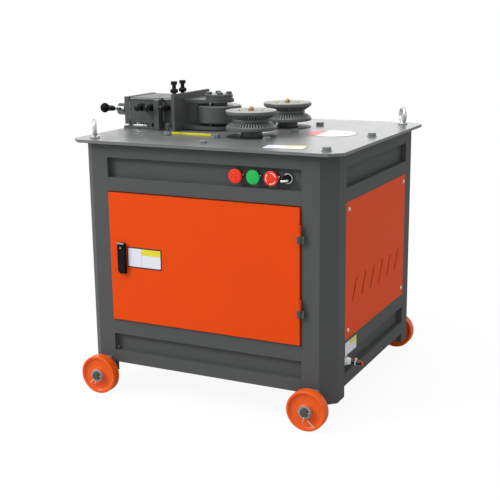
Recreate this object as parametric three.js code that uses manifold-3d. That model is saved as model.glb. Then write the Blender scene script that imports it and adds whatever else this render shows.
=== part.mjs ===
// Spiral ring making machine: a welded cabinet on four rolling wheels, with three bending rolls on its table.
// Two grooved rolls are driven by gears below the table. A smooth roll in a sliding fork presses the bar
// against them, and a crossbar turns the screw that feeds the fork.
// Millimetres, +Z up, the operator stands at -Y. The origin is at the middle of the floor area it covers.
import * as THREE from "three";
import { mergeVertices } from "three/addons/utils/BufferGeometryUtils.js";
import Module from "manifold-3d";

const wasm = await Module();
wasm.setup();

// General values
const clearance = 0.3; // gap between pieces that seat on or turn in each other
const overrun = 2; // how far a cut reaches past a face
const weldDistance = 0.001; // vertices closer than this are one
const fineSides = 32;
const wheelSides = 24;
const beltSides = 20;
const roundSides = 16;
const smallSides = 10;
const tubeSides = 8;
const hexSides = 6;

// Table and cabinet
const tableWidth = 800;
const tableDepth = 710;
const tableHeight = 725;
const tableThickness = 8;
const tableCornerCut = 31;
const tableOverhang = 22;
const frameHalfX = tableWidth / 2 - tableOverhang;
const frameHalfY = tableDepth / 2 - tableOverhang;
const tableUnderside = tableHeight - tableThickness;

// Corner legs, folded from sheet
const legSheet = 3;
const legFlange = 50;
const legChamfer = 37.5;
const legLip = 16;
const legFoot = 56;
const legTop = tableUnderside - clearance;
const legEdgeX = frameHalfX - legChamfer - legFlange;
const legEdgeY = frameHalfY - legChamfer - legFlange;

// Rails between the legs, each with a long pressed recess
const railSheet = 2;
const railReturn = 18;
const recessDepth = 16;
const upperRailBand = 39;
const upperRecessHeight = 55;
const upperRailFoot = 38;
const lowerRailHeight = 86; // from the floor to the bottom rail
const lowerRailFoot = 35;
const lowerRecessHeight = 51;
const lowerRailBand = 42;
const upperRail = {
  top: legTop,
  recessTop: tableUnderside - upperRailBand,
  recessBottom: tableUnderside - upperRailBand - upperRecessHeight,
  bottom: tableUnderside - upperRailBand - upperRecessHeight - upperRailFoot,
};
const lowerRail = {
  top: lowerRailHeight + lowerRailFoot + lowerRecessHeight + lowerRailBand,
  recessTop: lowerRailHeight + lowerRailFoot + lowerRecessHeight,
  recessBottom: lowerRailHeight + lowerRailFoot,
  bottom: lowerRailHeight,
};

// Side and rear covers
const coverSheet = 1.2;
const slitCount = 6;
const slitPitchShare = 0.1426; // of the width between the legs
const slitLength = 66;
const slitWidth = 6.5;
const slitSlant = THREE.MathUtils.degToRad(28);
const slitHeight = 339;
const slitPitch = slitPitchShare * 2 * legEdgeY;

// Door, with a lift-off hinge at each end of its right edge
const doorGap = 3;
const doorProud = 6;
const doorSheet = 2;
const doorDepth = 18;
const hingeRadius = 6;
const hingePinRadius = 3;
const hingeProud = 10; // from the leg's face to the pin
const hingeInset = 2.5; // from the leg's edge to the pin
const doorKnuckle = 27;
const frameKnuckle = 20;
const hingeLeaf = 14;
const upperHingeDrop = 72;
const lowerHingeRise = 96;
const doorHalfWidth = legEdgeX - doorGap;
const doorTop = upperRail.bottom - doorGap;
const doorBottom = lowerRail.top + doorGap;
const doorFace = -(frameHalfY + doorProud);
const hingeX = legEdgeX - hingeInset;
const hingeY = -(frameHalfY + hingeProud);
const hingeJoints = { upper: doorTop - upperHingeDrop, lower: doorBottom + lowerHingeRise };

// Door latch
const latchWidth = 22;
const latchHeight = 91;
const latchPlate = 5.7;
const latchFromEdge = 41; // door's left edge to the spindle
const latchHeightOnDoor = 213; // door's bottom edge to the spindle
const latchTopReach = 16.5; // spindle to the plate's top edge
const latchLeverThickness = 11.7;
const latchLeverMargin = 1.5;
const latchTipSteps = 6;
const latchSpindle = 6;
const camLength = 51;
const camWidth = 18;
const camThickness = 4;
const latchX = -doorHalfWidth + latchFromEdge;
const latchZ = doorBottom + latchHeightOnDoor;

// Switches in the front upper recess
const selectorInset = 42; // from the right leg's edge to the selector
const switchPitch = 51;
const selectorPitch = 39.5;
const switchRise = 1.2; // above the middle of the recess
const barrelRadius = 11;
const bezelRadius = 15;
const bezelHeight = 6;
const bezelChamfer = 1.5;
const stemRadius = 8;
const mushroomRadius = 19;
const emergencyRadius = 19.5;
const mushroomGap = 18; // from the recess panel to the head's back
const mushroomHeight = 7;
const mushroomRim = 2;
const mushroomCrown = 2;
const selectorRadius = 10.5;
const selectorHeight = 7;
const selectorBarLong = 16; // from the knob's axis to the bar's pointing end
const selectorBarShort = 8;
const selectorBarWidth = 6;
const selectorBarHeight = 7;
const stationShare = 0.474; // of the room between the recess panel and the gearbox
const stemShare = 0.5;
const stemHoleShare = 0.75;
const stationHalfHeight = 21;
const stationMargin = 23;
const panelFace = -(frameHalfY - recessDepth);
const switchZ = (upperRail.recessTop + upperRail.recessBottom) / 2 + switchRise;
const selectorX = legEdgeX - selectorInset;
const switches = {
  stop: selectorX - selectorPitch - 2 * switchPitch,
  start: selectorX - selectorPitch - switchPitch,
  emergency: selectorX - selectorPitch,
  selector: selectorX,
};

// Rolling wheels and their stub axles
const wheelRadius = 55;
const wheelWidth = 28;
const wheelOutset = 48; // from the frame's face to the wheel's outer face
const wheelInset = 56; // from the frame's corner to the wheel's centre
const rimWall = 7;
const wheelDish = 1.75; // how far the web's edges lean into the rim and the hub
const webThickness = 10;
const hubRadius = 19;
const axleRadius = 10;
const axlePlateHalfWidth = 20;
const axlePlateDrop = 25;
const axlePlateRise = 45;
const axlePlateThickness = 6;
const washerRadius = 18;
const washerThickness = 3;
const axleEnd = 10;
const cotterRadius = 2;
const cotterLength = 34;
const wheelX = frameHalfX - wheelInset;
const wheelFace = frameHalfY + wheelOutset;

// Lifting eyes on two corners of the table
const eyeInsetX = 53;
const eyeInsetY = 51;
const eyeRadius = 20.5;
const eyeTube = 5.5;
const eyeHeight = 28;
const eyeCollarRadius = 13;
const eyeCollarHeight = 8;
const eyeShankRadius = 6;
const eyeShankLength = 24;
const eyeNeckRadius = 8;
const eyeTurn = THREE.MathUtils.degToRad(-55);
const eyeX = tableWidth / 2 - eyeInsetX;
const eyeY = tableDepth / 2 - eyeInsetY;

// Bending rolls. The drive rolls stand beside the press roll's line of travel.
const driveX = 49;
const pressX = -115;
const rollRadius = 71;
const rollWaist = 52;
const rollBottom = 20;
const rollHeight = 53.5;
const rollRim = 10;
const rollChamfer = 2;
const neckRadius = 30;
const journalRadius = 17.5;
const pressRollRadius = 65;
const pressBossRadius = 24;
const pressRollBottom = 22;
const pressRollHeight = 49.5;

// Gears, from one module: each drive spindle's gear meshes with the pinion between them
const gearModule = 5;
const driveTeeth = 31;
const pinionTeeth = 18;
const addendumShare = 0.95;
const dedendumShare = 1.25;
const backlashShare = 0.06;
const pressureAngle = THREE.MathUtils.degToRad(20);
const spindleOffset = (gearModule * (driveTeeth + pinionTeeth)) / 2;
const gearTip = (gearModule * driveTeeth) / 2 + addendumShare * gearModule;

// Gearbox under the table, measured down from the table's top
const boxPlate = 12;
const boxPlateHalfX = 105;
const boxPlateMargin = 1;
const boxWall = 6;
const gearAir = 4;
const boxDepth = 125;
const lidThickness = 8;
const bossRadius = 59;
const bossSink = 2; // the bosses end this far below the table's top
const gearTop = 55;
const gearFace = 30;
const bearingBoss = 34;
const bearingHeight = 20;
const bearingFloor = 1.2;
const spindleJournal = 20;
const pinionBearing = 25;
const boxBoltX = 78;
const boxBoltY = 187;
const boxBoltRadius = 6;
const boltHoleGap = 0.6;
const boltHeadRadius = 11.5;
const boltHeadHeight = 10;
const boxInnerX = gearTip + gearAir;
const boxInnerY = spindleOffset + gearTip + gearAir;
const boxPlateHalfY = boxInnerY + boxWall + boxPlateMargin;

// The contact box behind the switches fills part of the room in front of the gearbox
const stationDepth = stationShare * (-panelFace - boxPlateHalfY);
const stemDepth = stemShare * stationDepth;
const stemHoleDepth = stemHoleShare * stationDepth;

// Belt drive and motor
const beltDistance = 200;
const pulleyPitchRadius = 84;
const motorPulleyPitchRadius = 40;
const beltHeight = 11;
const beltWidth = 15;
const pulleyWidth = 35;
const pulleyDrop = 150; // from the table's top to the pulleys' upper faces
const motorShaftRadius = 12;
const motorPlateThickness = 10;
const motorPlateGap = 10;
const motorPlateHalf = 112;
const pillarRadius = 8;
const pillarInset = 16;
const motorFlangeRadius = 95;
const motorFlangeThickness = 12;
const motorRadius = 80;
const motorLength = 215;
const motorBore = 60;
const motorPlateHole = 24;
const fanChamfer = 10;
const terminalBox = { width: 80, depth: 40, height: 90, drop: 50 };
const motorX = driveX - beltDistance;

// Slide housing on the table, for the press fork
const basePlate = 7.5;
const baseHalfY = 80;
const baseLeft = -397;
const housingLeft = -394;
const housingRight = -219;
const housingHalfY = 74;
const housingWall = 8;
const endPlate = 16;
const endPlateHalfY = 77;
const endPlateBottom = 12.5;
const endPlateTop = 93.5;
const housingFloor = 17.5;
const housingTop = 87;
const housingCover = 5;
const padLength = 14;
const padWidth = 20;
const padPitch = 65;
const padFirst = 12;
const ribLeft = -279;
const ribThickness = 17;
const ribReach = 27;
const ribSlope = 4; // how far the rib's top falls towards its outer edge
const screwHeight = 48;
const screwRadius = 12;

// Press slide: ram, face plate and fork in one weldment
const forkReach = 90; // from the roll's axis back to the face plate
const facePlate = 10;
const faceHalfY = 107;
const faceBottom = 3;
const faceTop = 107;
const upperForkBottom = 80;
const upperForkThickness = 9;
const upperForkHalfY = 54;
const upperForkEnd = 44;
const lowerForkBottom = 3.5;
const lowerForkThickness = 10;
const lowerForkRadius = 60;
const ramLength = 140;
const ramTop = 71.5;
const ramFloorGap = 0.4;
const swivelRadius = 17;
const swivelThickness = 11;
const swivelInset = 12;
const faceX = pressX - forkReach;
const ramLeft = faceX - facePlate - ramLength;

// Press pin with its bolted cap
const pinRadius = 15;
const capRadius = 40;
const capThickness = 9;
const capBoltRadius = 8.5;
const capBoltHeight = 6.5;
const capBoltCircle = 29;
const capBoltCount = 4;
const capBoltTurn = THREE.MathUtils.degToRad(33);

// Gibs with their clamping screws: the neck, the lock nut and the head of each screw stand clear of the wall
const sideScrewsX = [-325, -292, -243];
const sideScrewZ = 66.5;
const topScrewX = -252;
const topScrewY = 25;
const gibLength = 116;
const gibRight = -226;
const gibThickness = 12;
const gibBottom = 29;
const topGibHalfY = 52;
const topGibThickness = 10;
const screwNeck = 6;
const nutStart = 12;
const nutRadius = 12;
const nutHeight = 12;
const nutChamfer = 3.5;
const headStart = 36;
const headRadius = 9.8;
const headHeight = 10;

// Feed screw and crossbar
const screwEnd = -466;
const hubX = -449;
const hubOuterRadius = 18;
const hubLength = 28;
const barRadius = 4;
const barHalfLength = 104;
const gripStart = 55;
const gripRoot = 8;
const gripWide = 14.5;
const gripWideAt = 98;
const gripShoulder = 107;
const gripEnd = 112;
const gripEndShare = 0.55;
const crossbarTilt = THREE.MathUtils.degToRad(-7.4);

// Scale strip in front of the fork
const scaleLeft = -204;
const scaleLength = 141;
const scaleY = -148;
const scaleThickness = 10;
const scaleHeight = 5;

// Supply lead and its gland in the right lower recess. The lead's route starts at the recess panel.
const glandInset = 24.5; // from the front right leg's edge
const glandRise = 3.5; // above the middle of the recess
const glandThread = 10;
const glandRadius = 13;
const glandNose = 9;
const glandFlange = 6;
const glandChamfer = 1.5;
const glandLength = 26;
const glandTail = 12;
const leadRadius = 5.5;
const leadSteps = 6;
const leadAir = 1;
const leadRoute = [
  [6, 0, 0],
  [19, 0, 0],
  [32, 0, -0.3],
  [45, 0, -1.1],
  [59, 0, -2.5],
];
const glandPlace = [
  frameHalfX - recessDepth,
  glandInset - legEdgeY,
  (lowerRail.recessTop + lowerRail.recessBottom) / 2 + glandRise,
];

// The screw's end and the table's right edge are the machine's extremes along X
const originX = (tableWidth / 2 + screwEnd) / 2;

// Finishes
const greyPaint = finish(0x4b4e52, 0.45, 0.2);
const orangePaint = finish(0xe84e10, 0.4, 0.05);
const wheelOrange = finish(0xe65519, 0.4, 0.05);
const steel = finish(0x77797c, 0.4, 0.8);
const castIron = finish(0x5b5e61, 0.5, 0.5);
const zinc = finish(0xc4c8ca, 0.3, 0.9);
const chrome = finish(0xd8dadd, 0.12, 1);
const blackPlastic = finish(0x1b1c1d, 0.45, 0);
const blackOxide = finish(0x202124, 0.45, 0.6);
const redPlastic = finish(0xe02a10, 0.3, 0);
const greenPlastic = finish(0x14b050, 0.3, 0);
const yellowPaint = finish(0xd8cf2e, 0.5, 0);
const palePlastic = finish(0xc2ccd0, 0.5, 0);
const rubber = finish(0x161616, 0.8, 0);
const motorPaint = finish(0x3d4a55, 0.5, 0.2);

function finish(color, roughness, metalness) {
  return new THREE.MeshStandardMaterial({ color, roughness, metalness, flatShading: true });
}

// A closed three.js geometry as a solid, with its faces turned outwards
function solid(geometry) {
  const loose = geometry.index ? geometry.toNonIndexed() : geometry;
  const bare = new THREE.BufferGeometry();
  bare.setAttribute("position", loose.getAttribute("position"));
  const shared = mergeVertices(bare, weldDistance);
  const vertProperties = shared.attributes.position.array;
  const triVerts = new Uint32Array(shared.index.array);
  const make = () => new wasm.Manifold(new wasm.Mesh({ numProp: 3, vertProperties, triVerts }));
  const made = make();
  if (made.volume() > 0) return made;
  for (let i = 0; i < triVerts.length; i += 3) {
    [triVerts[i + 1], triVerts[i + 2]] = [triVerts[i + 2], triVerts[i + 1]];
  }
  return make();
}

// A named mesh from a solid
function piece(name, shape, material, place = [0, 0, 0]) {
  const { vertProperties, triVerts } = shape.getMesh();
  const geometry = new THREE.BufferGeometry();
  geometry.setAttribute("position", new THREE.BufferAttribute(new Float32Array(vertProperties), 3));
  geometry.setIndex(new THREE.BufferAttribute(new Uint32Array(triVerts), 1));
  geometry.computeVertexNormals();
  const mesh = new THREE.Mesh(geometry, material);
  mesh.name = name;
  mesh.position.set(...place);
  return mesh;
}

function joined(...shapes) {
  return shapes.flat().reduce((whole, next) => whole.add(next));
}

function cut(shape, ...tools) {
  return tools.flat().reduce((rest, tool) => rest.subtract(tool), shape);
}

function block([x0, x1], [y0, y1], [z0, z1]) {
  const box = new THREE.BoxGeometry(x1 - x0, y1 - y0, z1 - z0);
  return solid(box.translate((x0 + x1) / 2, (y0 + y1) / 2, (z0 + z1) / 2));
}

// A turned piece from points of radius and height, along "x", "y", "z" or "front", which is towards -Y
function turned(profile, axis = "z", sides = roundSides) {
  const lathe = new THREE.LatheGeometry(profile.map(([r, h]) => new THREE.Vector2(r, h)), sides);
  if (axis === "x") lathe.rotateZ(-Math.PI / 2);
  if (axis === "z") lathe.rotateX(Math.PI / 2);
  if (axis === "front") lathe.rotateX(Math.PI);
  return solid(lathe);
}

function rod(radius, [from, to], axis = "z", sides = roundSides) {
  return turned([[0, from], [radius, from], [radius, to], [0, to]], axis, sides);
}

// A hole that a round piece of the same count of sides turns in: its flats keep the clearance
function boreRadius(radius, sides = roundSides, air = clearance) {
  return (radius + air) / Math.cos(Math.PI / sides);
}

function bore(radius, reach, axis = "z", sides = roundSides, air = clearance) {
  return rod(boreRadius(radius, sides, air), reach, axis, sides);
}

// An outline carried along "z" (points x, y), along "x" (points y, z) or along "y" (points x, z)
function prism(outline, [from, to], axis = "z") {
  const shape = new THREE.Shape(outline.map(([u, v]) => new THREE.Vector2(u, v)));
  const bar = new THREE.ExtrudeGeometry(shape, { depth: to - from, bevelEnabled: false });
  const [x, y, z] = [new THREE.Vector3(1, 0, 0), new THREE.Vector3(0, 1, 0), new THREE.Vector3(0, 0, 1)];
  if (axis === "z") return solid(bar.translate(0, 0, from));
  const frame = new THREE.Matrix4();
  if (axis === "x") return solid(bar.translate(0, 0, from).applyMatrix4(frame.makeBasis(y, z, x)));
  return solid(bar.translate(0, 0, -to).applyMatrix4(frame.makeBasis(x, z, y.negate())));
}

// The outline of a folded sheet: the path is its outer face and the sheet lies on its right-hand side
function foldedSheet(path, thickness) {
  const normals = path.slice(1).map(([x, y], i) => {
    const [dx, dy] = [x - path[i][0], y - path[i][1]];
    const length = Math.hypot(dx, dy);
    return [dy / length, -dx / length];
  });
  const inner = path.map(([x, y], i) => {
    const a = normals[Math.max(i - 1, 0)];
    const b = normals[Math.min(i, normals.length - 1)];
    const spread = thickness / (1 + a[0] * b[0] + a[1] * b[1]);
    return [x + (a[0] + b[0]) * spread, y + (a[1] + b[1]) * spread];
  });
  return [...path, ...inner.reverse()];
}

function chamferedRectangle(halfX, halfY, corner) {
  return [
    [-halfX, -halfY + corner], [-halfX + corner, -halfY], [halfX - corner, -halfY], [halfX, -halfY + corner],
    [halfX, halfY - corner], [halfX - corner, halfY], [-halfX + corner, halfY], [-halfX, halfY - corner],
  ];
}

// Table top, with the holes for the gearbox bosses, its bolts and the lifting eyes
function makeTableTop() {
  const through = [-tableThickness - overrun, overrun];
  const plate = prism(chamferedRectangle(tableWidth / 2, tableDepth / 2, tableCornerCut), [-tableThickness, 0]);
  const bossHoles = [-1, 1].map((s) =>
    rod(bossRadius + clearance, through, "z", fineSides).translate([driveX, s * spindleOffset, 0]));
  const boltHoles = boxBolts().map(([x, y]) =>
    rod(boxBoltRadius + boltHoleGap, through, "z", smallSides).translate([x, y, 0]));
  const eyeHoles = [-1, 1].map((s) =>
    rod(eyeShankRadius + boltHoleGap, through, "z", smallSides).translate([s * eyeX, s * eyeY, 0]));
  return cut(plate, bossHoles, boltHoles, eyeHoles);
}

// Five bolts hold the gearbox. There is none in the middle of the left side, where the fork passes.
function boxBolts() {
  const spots = [[-1, -1], [-1, 1], [1, -1], [1, 0], [1, 1]];
  return spots.map(([sx, sy]) => [driveX + sx * boxBoltX, sy * boxBoltY]);
}

// A corner leg, folded: lip, flange, chamfer, flange, lip
function makeLeg(sx, sy) {
  const path = [
    [legEdgeX, frameHalfY - legLip],
    [legEdgeX, frameHalfY],
    [frameHalfX - legChamfer, frameHalfY],
    [frameHalfX, frameHalfY - legChamfer],
    [frameHalfX, legEdgeY],
    [frameHalfX - legLip, legEdgeY],
  ];
  const outline = foldedSheet(path, legSheet).map(([x, y]) => [sx * x, sy * y]);
  return prism(outline, [legFoot, legTop]);
}

// A rail between two legs. Its section is given outwards from the middle of the machine.
function railSection(rail, half) {
  return foldedSheet([
    [half - railReturn, rail.top],
    [half, rail.top],
    [half, rail.recessTop],
    [half - recessDepth, rail.recessTop],
    [half - recessDepth, rail.recessBottom],
    [half, rail.recessBottom],
    [half, rail.bottom],
    [half - railReturn, rail.bottom],
  ], railSheet);
}

function makeRailX(rail, sy) {
  const reach = legEdgeX - clearance;
  return prism(railSection(rail, frameHalfY).map(([y, z]) => [sy * y, z]), [-reach, reach], "x");
}

function makeRailY(rail, sx) {
  const reach = legEdgeY - clearance;
  return prism(railSection(rail, frameHalfX).map(([x, z]) => [sx * x, z]), [-reach, reach], "y");
}

function makeSwitchRail() {
  const hole = bore(barrelRadius, [-overrun - railSheet, overrun], "front");
  const holes = Object.values(switches).map((x) => hole.translate([x, panelFace, switchZ]));
  return cut(makeRailX(upperRail, -1), holes);
}

function makeSupplyRail() {
  const hole = bore(glandThread, [-overrun - railSheet, overrun], "x");
  return cut(makeRailY(lowerRail, 1), hole.translate(glandPlace));
}

// Flat covers between the rails
function makeSideCover(sx) {
  const across = [sx * (frameHalfX - coverSheet), sx * frameHalfX].sort((a, b) => a - b);
  const halfY = legEdgeY - clearance;
  const sheet = block(across, [-halfY, halfY], [lowerRail.top + clearance, upperRail.bottom - clearance]);
  const slit = block([-overrun - coverSheet, overrun + coverSheet], [-slitWidth / 2, slitWidth / 2],
    [-slitLength / 2, slitLength / 2]).rotate([-THREE.MathUtils.radToDeg(slitSlant), 0, 0]);
  const slits = Array.from({ length: slitCount }, (_, i) =>
    slit.translate([sx * frameHalfX, (i - (slitCount - 1) / 2) * slitPitch, slitHeight]));
  return cut(sheet, slits);
}

function makeRearCover() {
  const halfX = legEdgeX - clearance;
  return block([-halfX, halfX], [frameHalfY - coverSheet, frameHalfY],
    [lowerRail.top + clearance, upperRail.bottom - clearance]);
}

// Door: a folded pan with the upper knuckles of its two hinges
function makeDoor() {
  const back = doorFace + doorDepth;
  const pan = block([-doorHalfWidth, doorHalfWidth], [doorFace, back], [doorBottom, doorTop]);
  const insideHalf = doorHalfWidth - doorSheet;
  const inside = block([-insideHalf, insideHalf], [doorFace + doorSheet, back + overrun],
    [doorBottom + doorSheet, doorTop - doorSheet]);
  const joints = Object.values(hingeJoints);
  const knuckles = joints.map((z) =>
    rod(hingeRadius, [z + clearance, z + doorKnuckle], "z", smallSides).translate([hingeX, hingeY, 0]));
  const notches = joints.map((z) =>
    block([hingeX - hingeRadius - 2 * clearance, doorHalfWidth + overrun], [doorFace - overrun, back + overrun],
      [z - frameKnuckle - clearance, z + clearance]));
  const pinHoles = joints.map((z) =>
    bore(hingePinRadius, [z - overrun, z + doorKnuckle + overrun], "z", smallSides)
      .translate([hingeX, hingeY, 0]));
  const spindleHole = bore(latchSpindle, [-doorSheet - overrun, overrun], "front", smallSides)
    .translate([latchX, doorFace, latchZ]);
  return cut(joined(cut(pan, inside), knuckles), notches, pinHoles, spindleHole);
}

// The half of a hinge that is welded to the leg, with its pin
function makeHinge(joint) {
  const knuckle = rod(hingeRadius, [joint - frameKnuckle, joint], "z", smallSides);
  const pin = rod(hingePinRadius, [joint - frameKnuckle, joint + doorKnuckle - clearance], "z", smallSides);
  const leaf = block([0, hingeLeaf], [0, hingeProud - clearance], [joint - frameKnuckle, joint]);
  return joined(knuckle, pin, leaf).translate([hingeX, hingeY, 0]);
}

// A latch's outline: parallel sides with a half-round lower end
function latchOutline(margin) {
  const wide = latchWidth / 2 - margin;
  const top = latchTopReach - margin;
  const tip = latchTopReach - latchHeight + margin + wide;
  const end = Array.from({ length: latchTipSteps + 1 }, (_, i) => {
    const angle = (Math.PI * i) / latchTipSteps;
    return [wide * Math.cos(angle), tip - wide * Math.sin(angle)];
  });
  return [[-wide, top], [wide, top], ...end];
}

// Latch plate on the door's face
function makeLatchPlate() {
  const plate = prism(latchOutline(0), [-latchPlate - clearance, -clearance], "y");
  const hole = bore(latchSpindle, [-overrun, latchPlate + overrun], "front", smallSides);
  return cut(plate, hole).translate([latchX, doorFace, latchZ]);
}

// Latch lever, spindle and cam, as they turn together. The cam stands upright while the door is free.
function makeLatchLever() {
  const lift = -latchPlate - 2 * clearance;
  const lever = prism(latchOutline(latchLeverMargin), [lift - latchLeverThickness, lift], "y");
  const camFront = frameHalfY - legLip - clearance;
  const spindleEnd = -doorFace - camFront + camThickness;
  const spindle = rod(latchSpindle, [-spindleEnd, -lift], "front", smallSides);
  const cam = block([-camWidth / 2, camWidth / 2], [spindleEnd - camThickness, spindleEnd],
    [-camWidth / 2, camLength]);
  return joined(lever, spindle, cam).translate([latchX, doorFace, latchZ]);
}

// Contact box behind the recess panel, with the four barrels and bezels that hold the switch heads
function makeSwitchStation() {
  const behind = railSheet + clearance;
  const xs = Object.values(switches);
  const box = block([xs[0] - stationMargin, xs.at(-1) + stationMargin], [behind, behind + stationDepth],
    [-stationHalfHeight, stationHalfHeight]);
  const barrel = turned([[0, -behind - overrun], [barrelRadius, -behind - overrun], [barrelRadius, clearance],
    [bezelRadius, clearance], [bezelRadius, bezelHeight / 2], [bezelRadius - bezelChamfer, bezelHeight],
    [0, bezelHeight]], "front");
  const hole = bore(stemRadius, [-stemHoleDepth, bezelHeight + overrun], "front");
  const barrels = xs.map((x) => barrel.translate([x, 0, 0]));
  const bores = xs.map((x) => hole.translate([x, 0, 0]));
  return cut(joined(box, barrels), bores).translate([0, panelFace, switchZ]);
}

// A mushroom head: a thin crowned disc with a conical back on its stem
function makeMushroom(radius) {
  const top = mushroomGap + mushroomHeight;
  const rimTop = top - 2 * mushroomCrown;
  return turned([[0, -stemDepth], [stemRadius, -stemDepth], [stemRadius, mushroomGap],
    [radius, rimTop - mushroomRim], [radius, rimTop], [radius - mushroomCrown, top - mushroomCrown / 2],
    [radius / 2, top], [0, top]], "front");
}

function makeSelector() {
  const foot = bezelHeight + clearance;
  const top = foot + selectorHeight;
  const knob = turned([[0, -stemDepth], [stemRadius, -stemDepth], [stemRadius, foot], [selectorRadius, foot],
    [selectorRadius, top], [0, top]], "front");
  const bar = block([-selectorBarLong, selectorBarShort], [-top - selectorBarHeight, -foot - clearance],
    [-selectorBarWidth / 2, selectorBarWidth / 2]);
  return joined(knob, bar);
}

// Stub axle, built outwards along +Y: plate on the leg, inner spacer, shaft, outer washer and split pin
function makeAxle() {
  const plateInner = frameHalfY + clearance;
  const plateOuter = plateInner + axlePlateThickness;
  const end = wheelFace + washerThickness + axleEnd;
  const plate = block([-axlePlateHalfWidth, axlePlateHalfWidth], [plateInner, plateOuter],
    [-axlePlateDrop, axlePlateRise]);
  const shaft = turned([
    [0, plateInner], [washerRadius, plateInner], [washerRadius, wheelFace - wheelWidth - clearance],
    [axleRadius, wheelFace - wheelWidth - clearance], [axleRadius, wheelFace + clearance],
    [washerRadius, wheelFace + clearance], [washerRadius, wheelFace + clearance + washerThickness],
    [axleRadius, wheelFace + clearance + washerThickness], [axleRadius, end], [0, end],
  ], "y");
  const cotter = rod(cotterRadius, [-cotterLength / 2, cotterLength / 2], "x", hexSides)
    .translate([0, end - axleEnd / 2 + cotterRadius / 2, 0]);
  return joined(plate, shaft, cotter);
}

// A wheel with a raised rim on both sides of its web, centred on its axle
function makeWheel() {
  const half = wheelWidth / 2;
  const web = webThickness / 2;
  const inner = boreRadius(axleRadius, wheelSides);
  const rimInner = wheelRadius - rimWall;
  return turned([
    [inner, -half], [hubRadius, -half], [hubRadius + wheelDish, -web], [rimInner - wheelDish, -web],
    [rimInner, -half], [wheelRadius, -half], [wheelRadius, half], [rimInner, half], [rimInner - wheelDish, web],
    [hubRadius + wheelDish, web], [hubRadius, half], [inner, half], [inner, -half],
  ], "y", wheelSides);
}

// Lifting eye with its collar and threaded shank. The ring stands on edge.
function makeEye() {
  const ring = new THREE.TorusGeometry(eyeRadius, eyeTube, tubeSides, roundSides);
  const stemTop = eyeCollarHeight + eyeTube / 2;
  const stem = turned([[0, -eyeShankLength], [eyeShankRadius, -eyeShankLength], [eyeShankRadius, clearance],
    [eyeCollarRadius, clearance], [eyeCollarRadius, eyeCollarHeight / 2], [eyeNeckRadius, eyeCollarHeight],
    [eyeShankRadius, stemTop], [0, stemTop]], "z", smallSides);
  return joined(solid(ring.rotateX(Math.PI / 2).rotateZ(eyeTurn).translate(0, 0, eyeHeight)), stem);
}

// A spur gear's outline with involute flanks. Its first tooth points along the angle given.
function gearOutline(teeth, firstTooth) {
  const pitchRadius = (gearModule * teeth) / 2;
  const baseRadius = pitchRadius * Math.cos(pressureAngle);
  const involute = (angle) => Math.tan(angle) - angle;
  const halfAngle = (r) => Math.PI / (2 * teeth) - (backlashShare * gearModule) / r + involute(pressureAngle)
    - involute(Math.acos(Math.min(1, baseRadius / r)));
  const root = pitchRadius - dedendumShare * gearModule;
  const tip = pitchRadius + addendumShare * gearModule;
  const flank = [root, Math.max(root + gearModule / 2, baseRadius), tip].map((r) => [r, halfAngle(r)]);
  return Array.from({ length: teeth }, (_, i) => {
    const middle = firstTooth + (i * 2 * Math.PI) / teeth;
    const sides = [...flank.map(([r, a]) => [r, -a]), ...flank.toReversed()];
    return sides.map(([r, a]) => [r * Math.cos(middle + a), r * Math.sin(middle + a)]);
  }).flat();
}

// A drive spindle: journal, gear, neck through the table and the shaft that carries the roll
function makeSpindle(side) {
  const gear = prism(gearOutline(driveTeeth, (-side * Math.PI) / 2), [-gearTop - gearFace, -gearTop]);
  const shoulder = rollBottom - clearance;
  const end = -boxDepth + bearingFloor;
  const shaft = turned([
    [0, end], [spindleJournal, end], [spindleJournal, -gearTop - gearFace],
    [neckRadius, -gearTop - gearFace], [neckRadius, shoulder], [journalRadius, shoulder],
    [journalRadius, rollBottom + rollHeight], [0, rollBottom + rollHeight],
  ]);
  return joined(gear, shaft);
}

// A grooved drive roll
function makeDriveRoll() {
  const top = rollBottom + rollHeight;
  const middle = rollBottom + rollHeight / 2;
  const inner = journalRadius + clearance;
  return turned([
    [inner, rollBottom], [rollRadius - rollChamfer, rollBottom], [rollRadius, rollBottom + rollChamfer],
    [rollRadius, rollBottom + rollRim], [rollWaist, middle - rollChamfer], [rollWaist, middle + rollChamfer],
    [rollRadius, top - rollRim], [rollRadius, top - rollChamfer], [rollRadius - rollChamfer, top], [inner, top],
    [inner, rollBottom],
  ], "z", fineSides);
}

function makePressRoll() {
  const [low, high] = [pressRollBottom, pressRollBottom + pressRollHeight];
  const [bossLow, bossHigh] = [lowerForkBottom + lowerForkThickness + clearance, upperForkBottom - clearance];
  const inner = boreRadius(pinRadius, fineSides);
  return turned([
    [inner, bossLow], [pressBossRadius, bossLow], [pressBossRadius, low], [pressRollRadius - rollChamfer, low],
    [pressRollRadius, low + rollChamfer], [pressRollRadius, high - rollChamfer],
    [pressRollRadius - rollChamfer, high], [pressBossRadius, high], [pressBossRadius, bossHigh],
    [inner, bossHigh], [inner, bossLow],
  ], "z", fineSides);
}

// Pinion with its shaft and the driven pulley
function makePinionShaft() {
  const outline = gearOutline(pinionTeeth, Math.PI / 2 + Math.PI / pinionTeeth);
  const gear = prism(outline, [-gearTop - gearFace, -gearTop]);
  const top = -tableThickness - 2 * clearance - boxPlate - clearance;
  const shaft = rod(journalRadius, [-pulleyDrop - pulleyWidth, top]);
  return joined(gear, shaft, makePulley(pulleyPitchRadius));
}

function makePulley(pitchRadius) {
  const [bottom, top] = [-pulleyDrop - pulleyWidth, -pulleyDrop];
  const [rim, floor] = [pitchRadius + beltHeight / 2, pitchRadius - beltHeight / 2 - clearance];
  const groove = beltWidth / 2 + clearance;
  const middle = (bottom + top) / 2;
  return turned([[0, bottom], [rim, bottom], [rim, middle - groove], [floor, middle - groove],
    [floor, middle + groove], [rim, middle + groove], [rim, top], [0, top]], "z", wheelSides);
}

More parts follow.
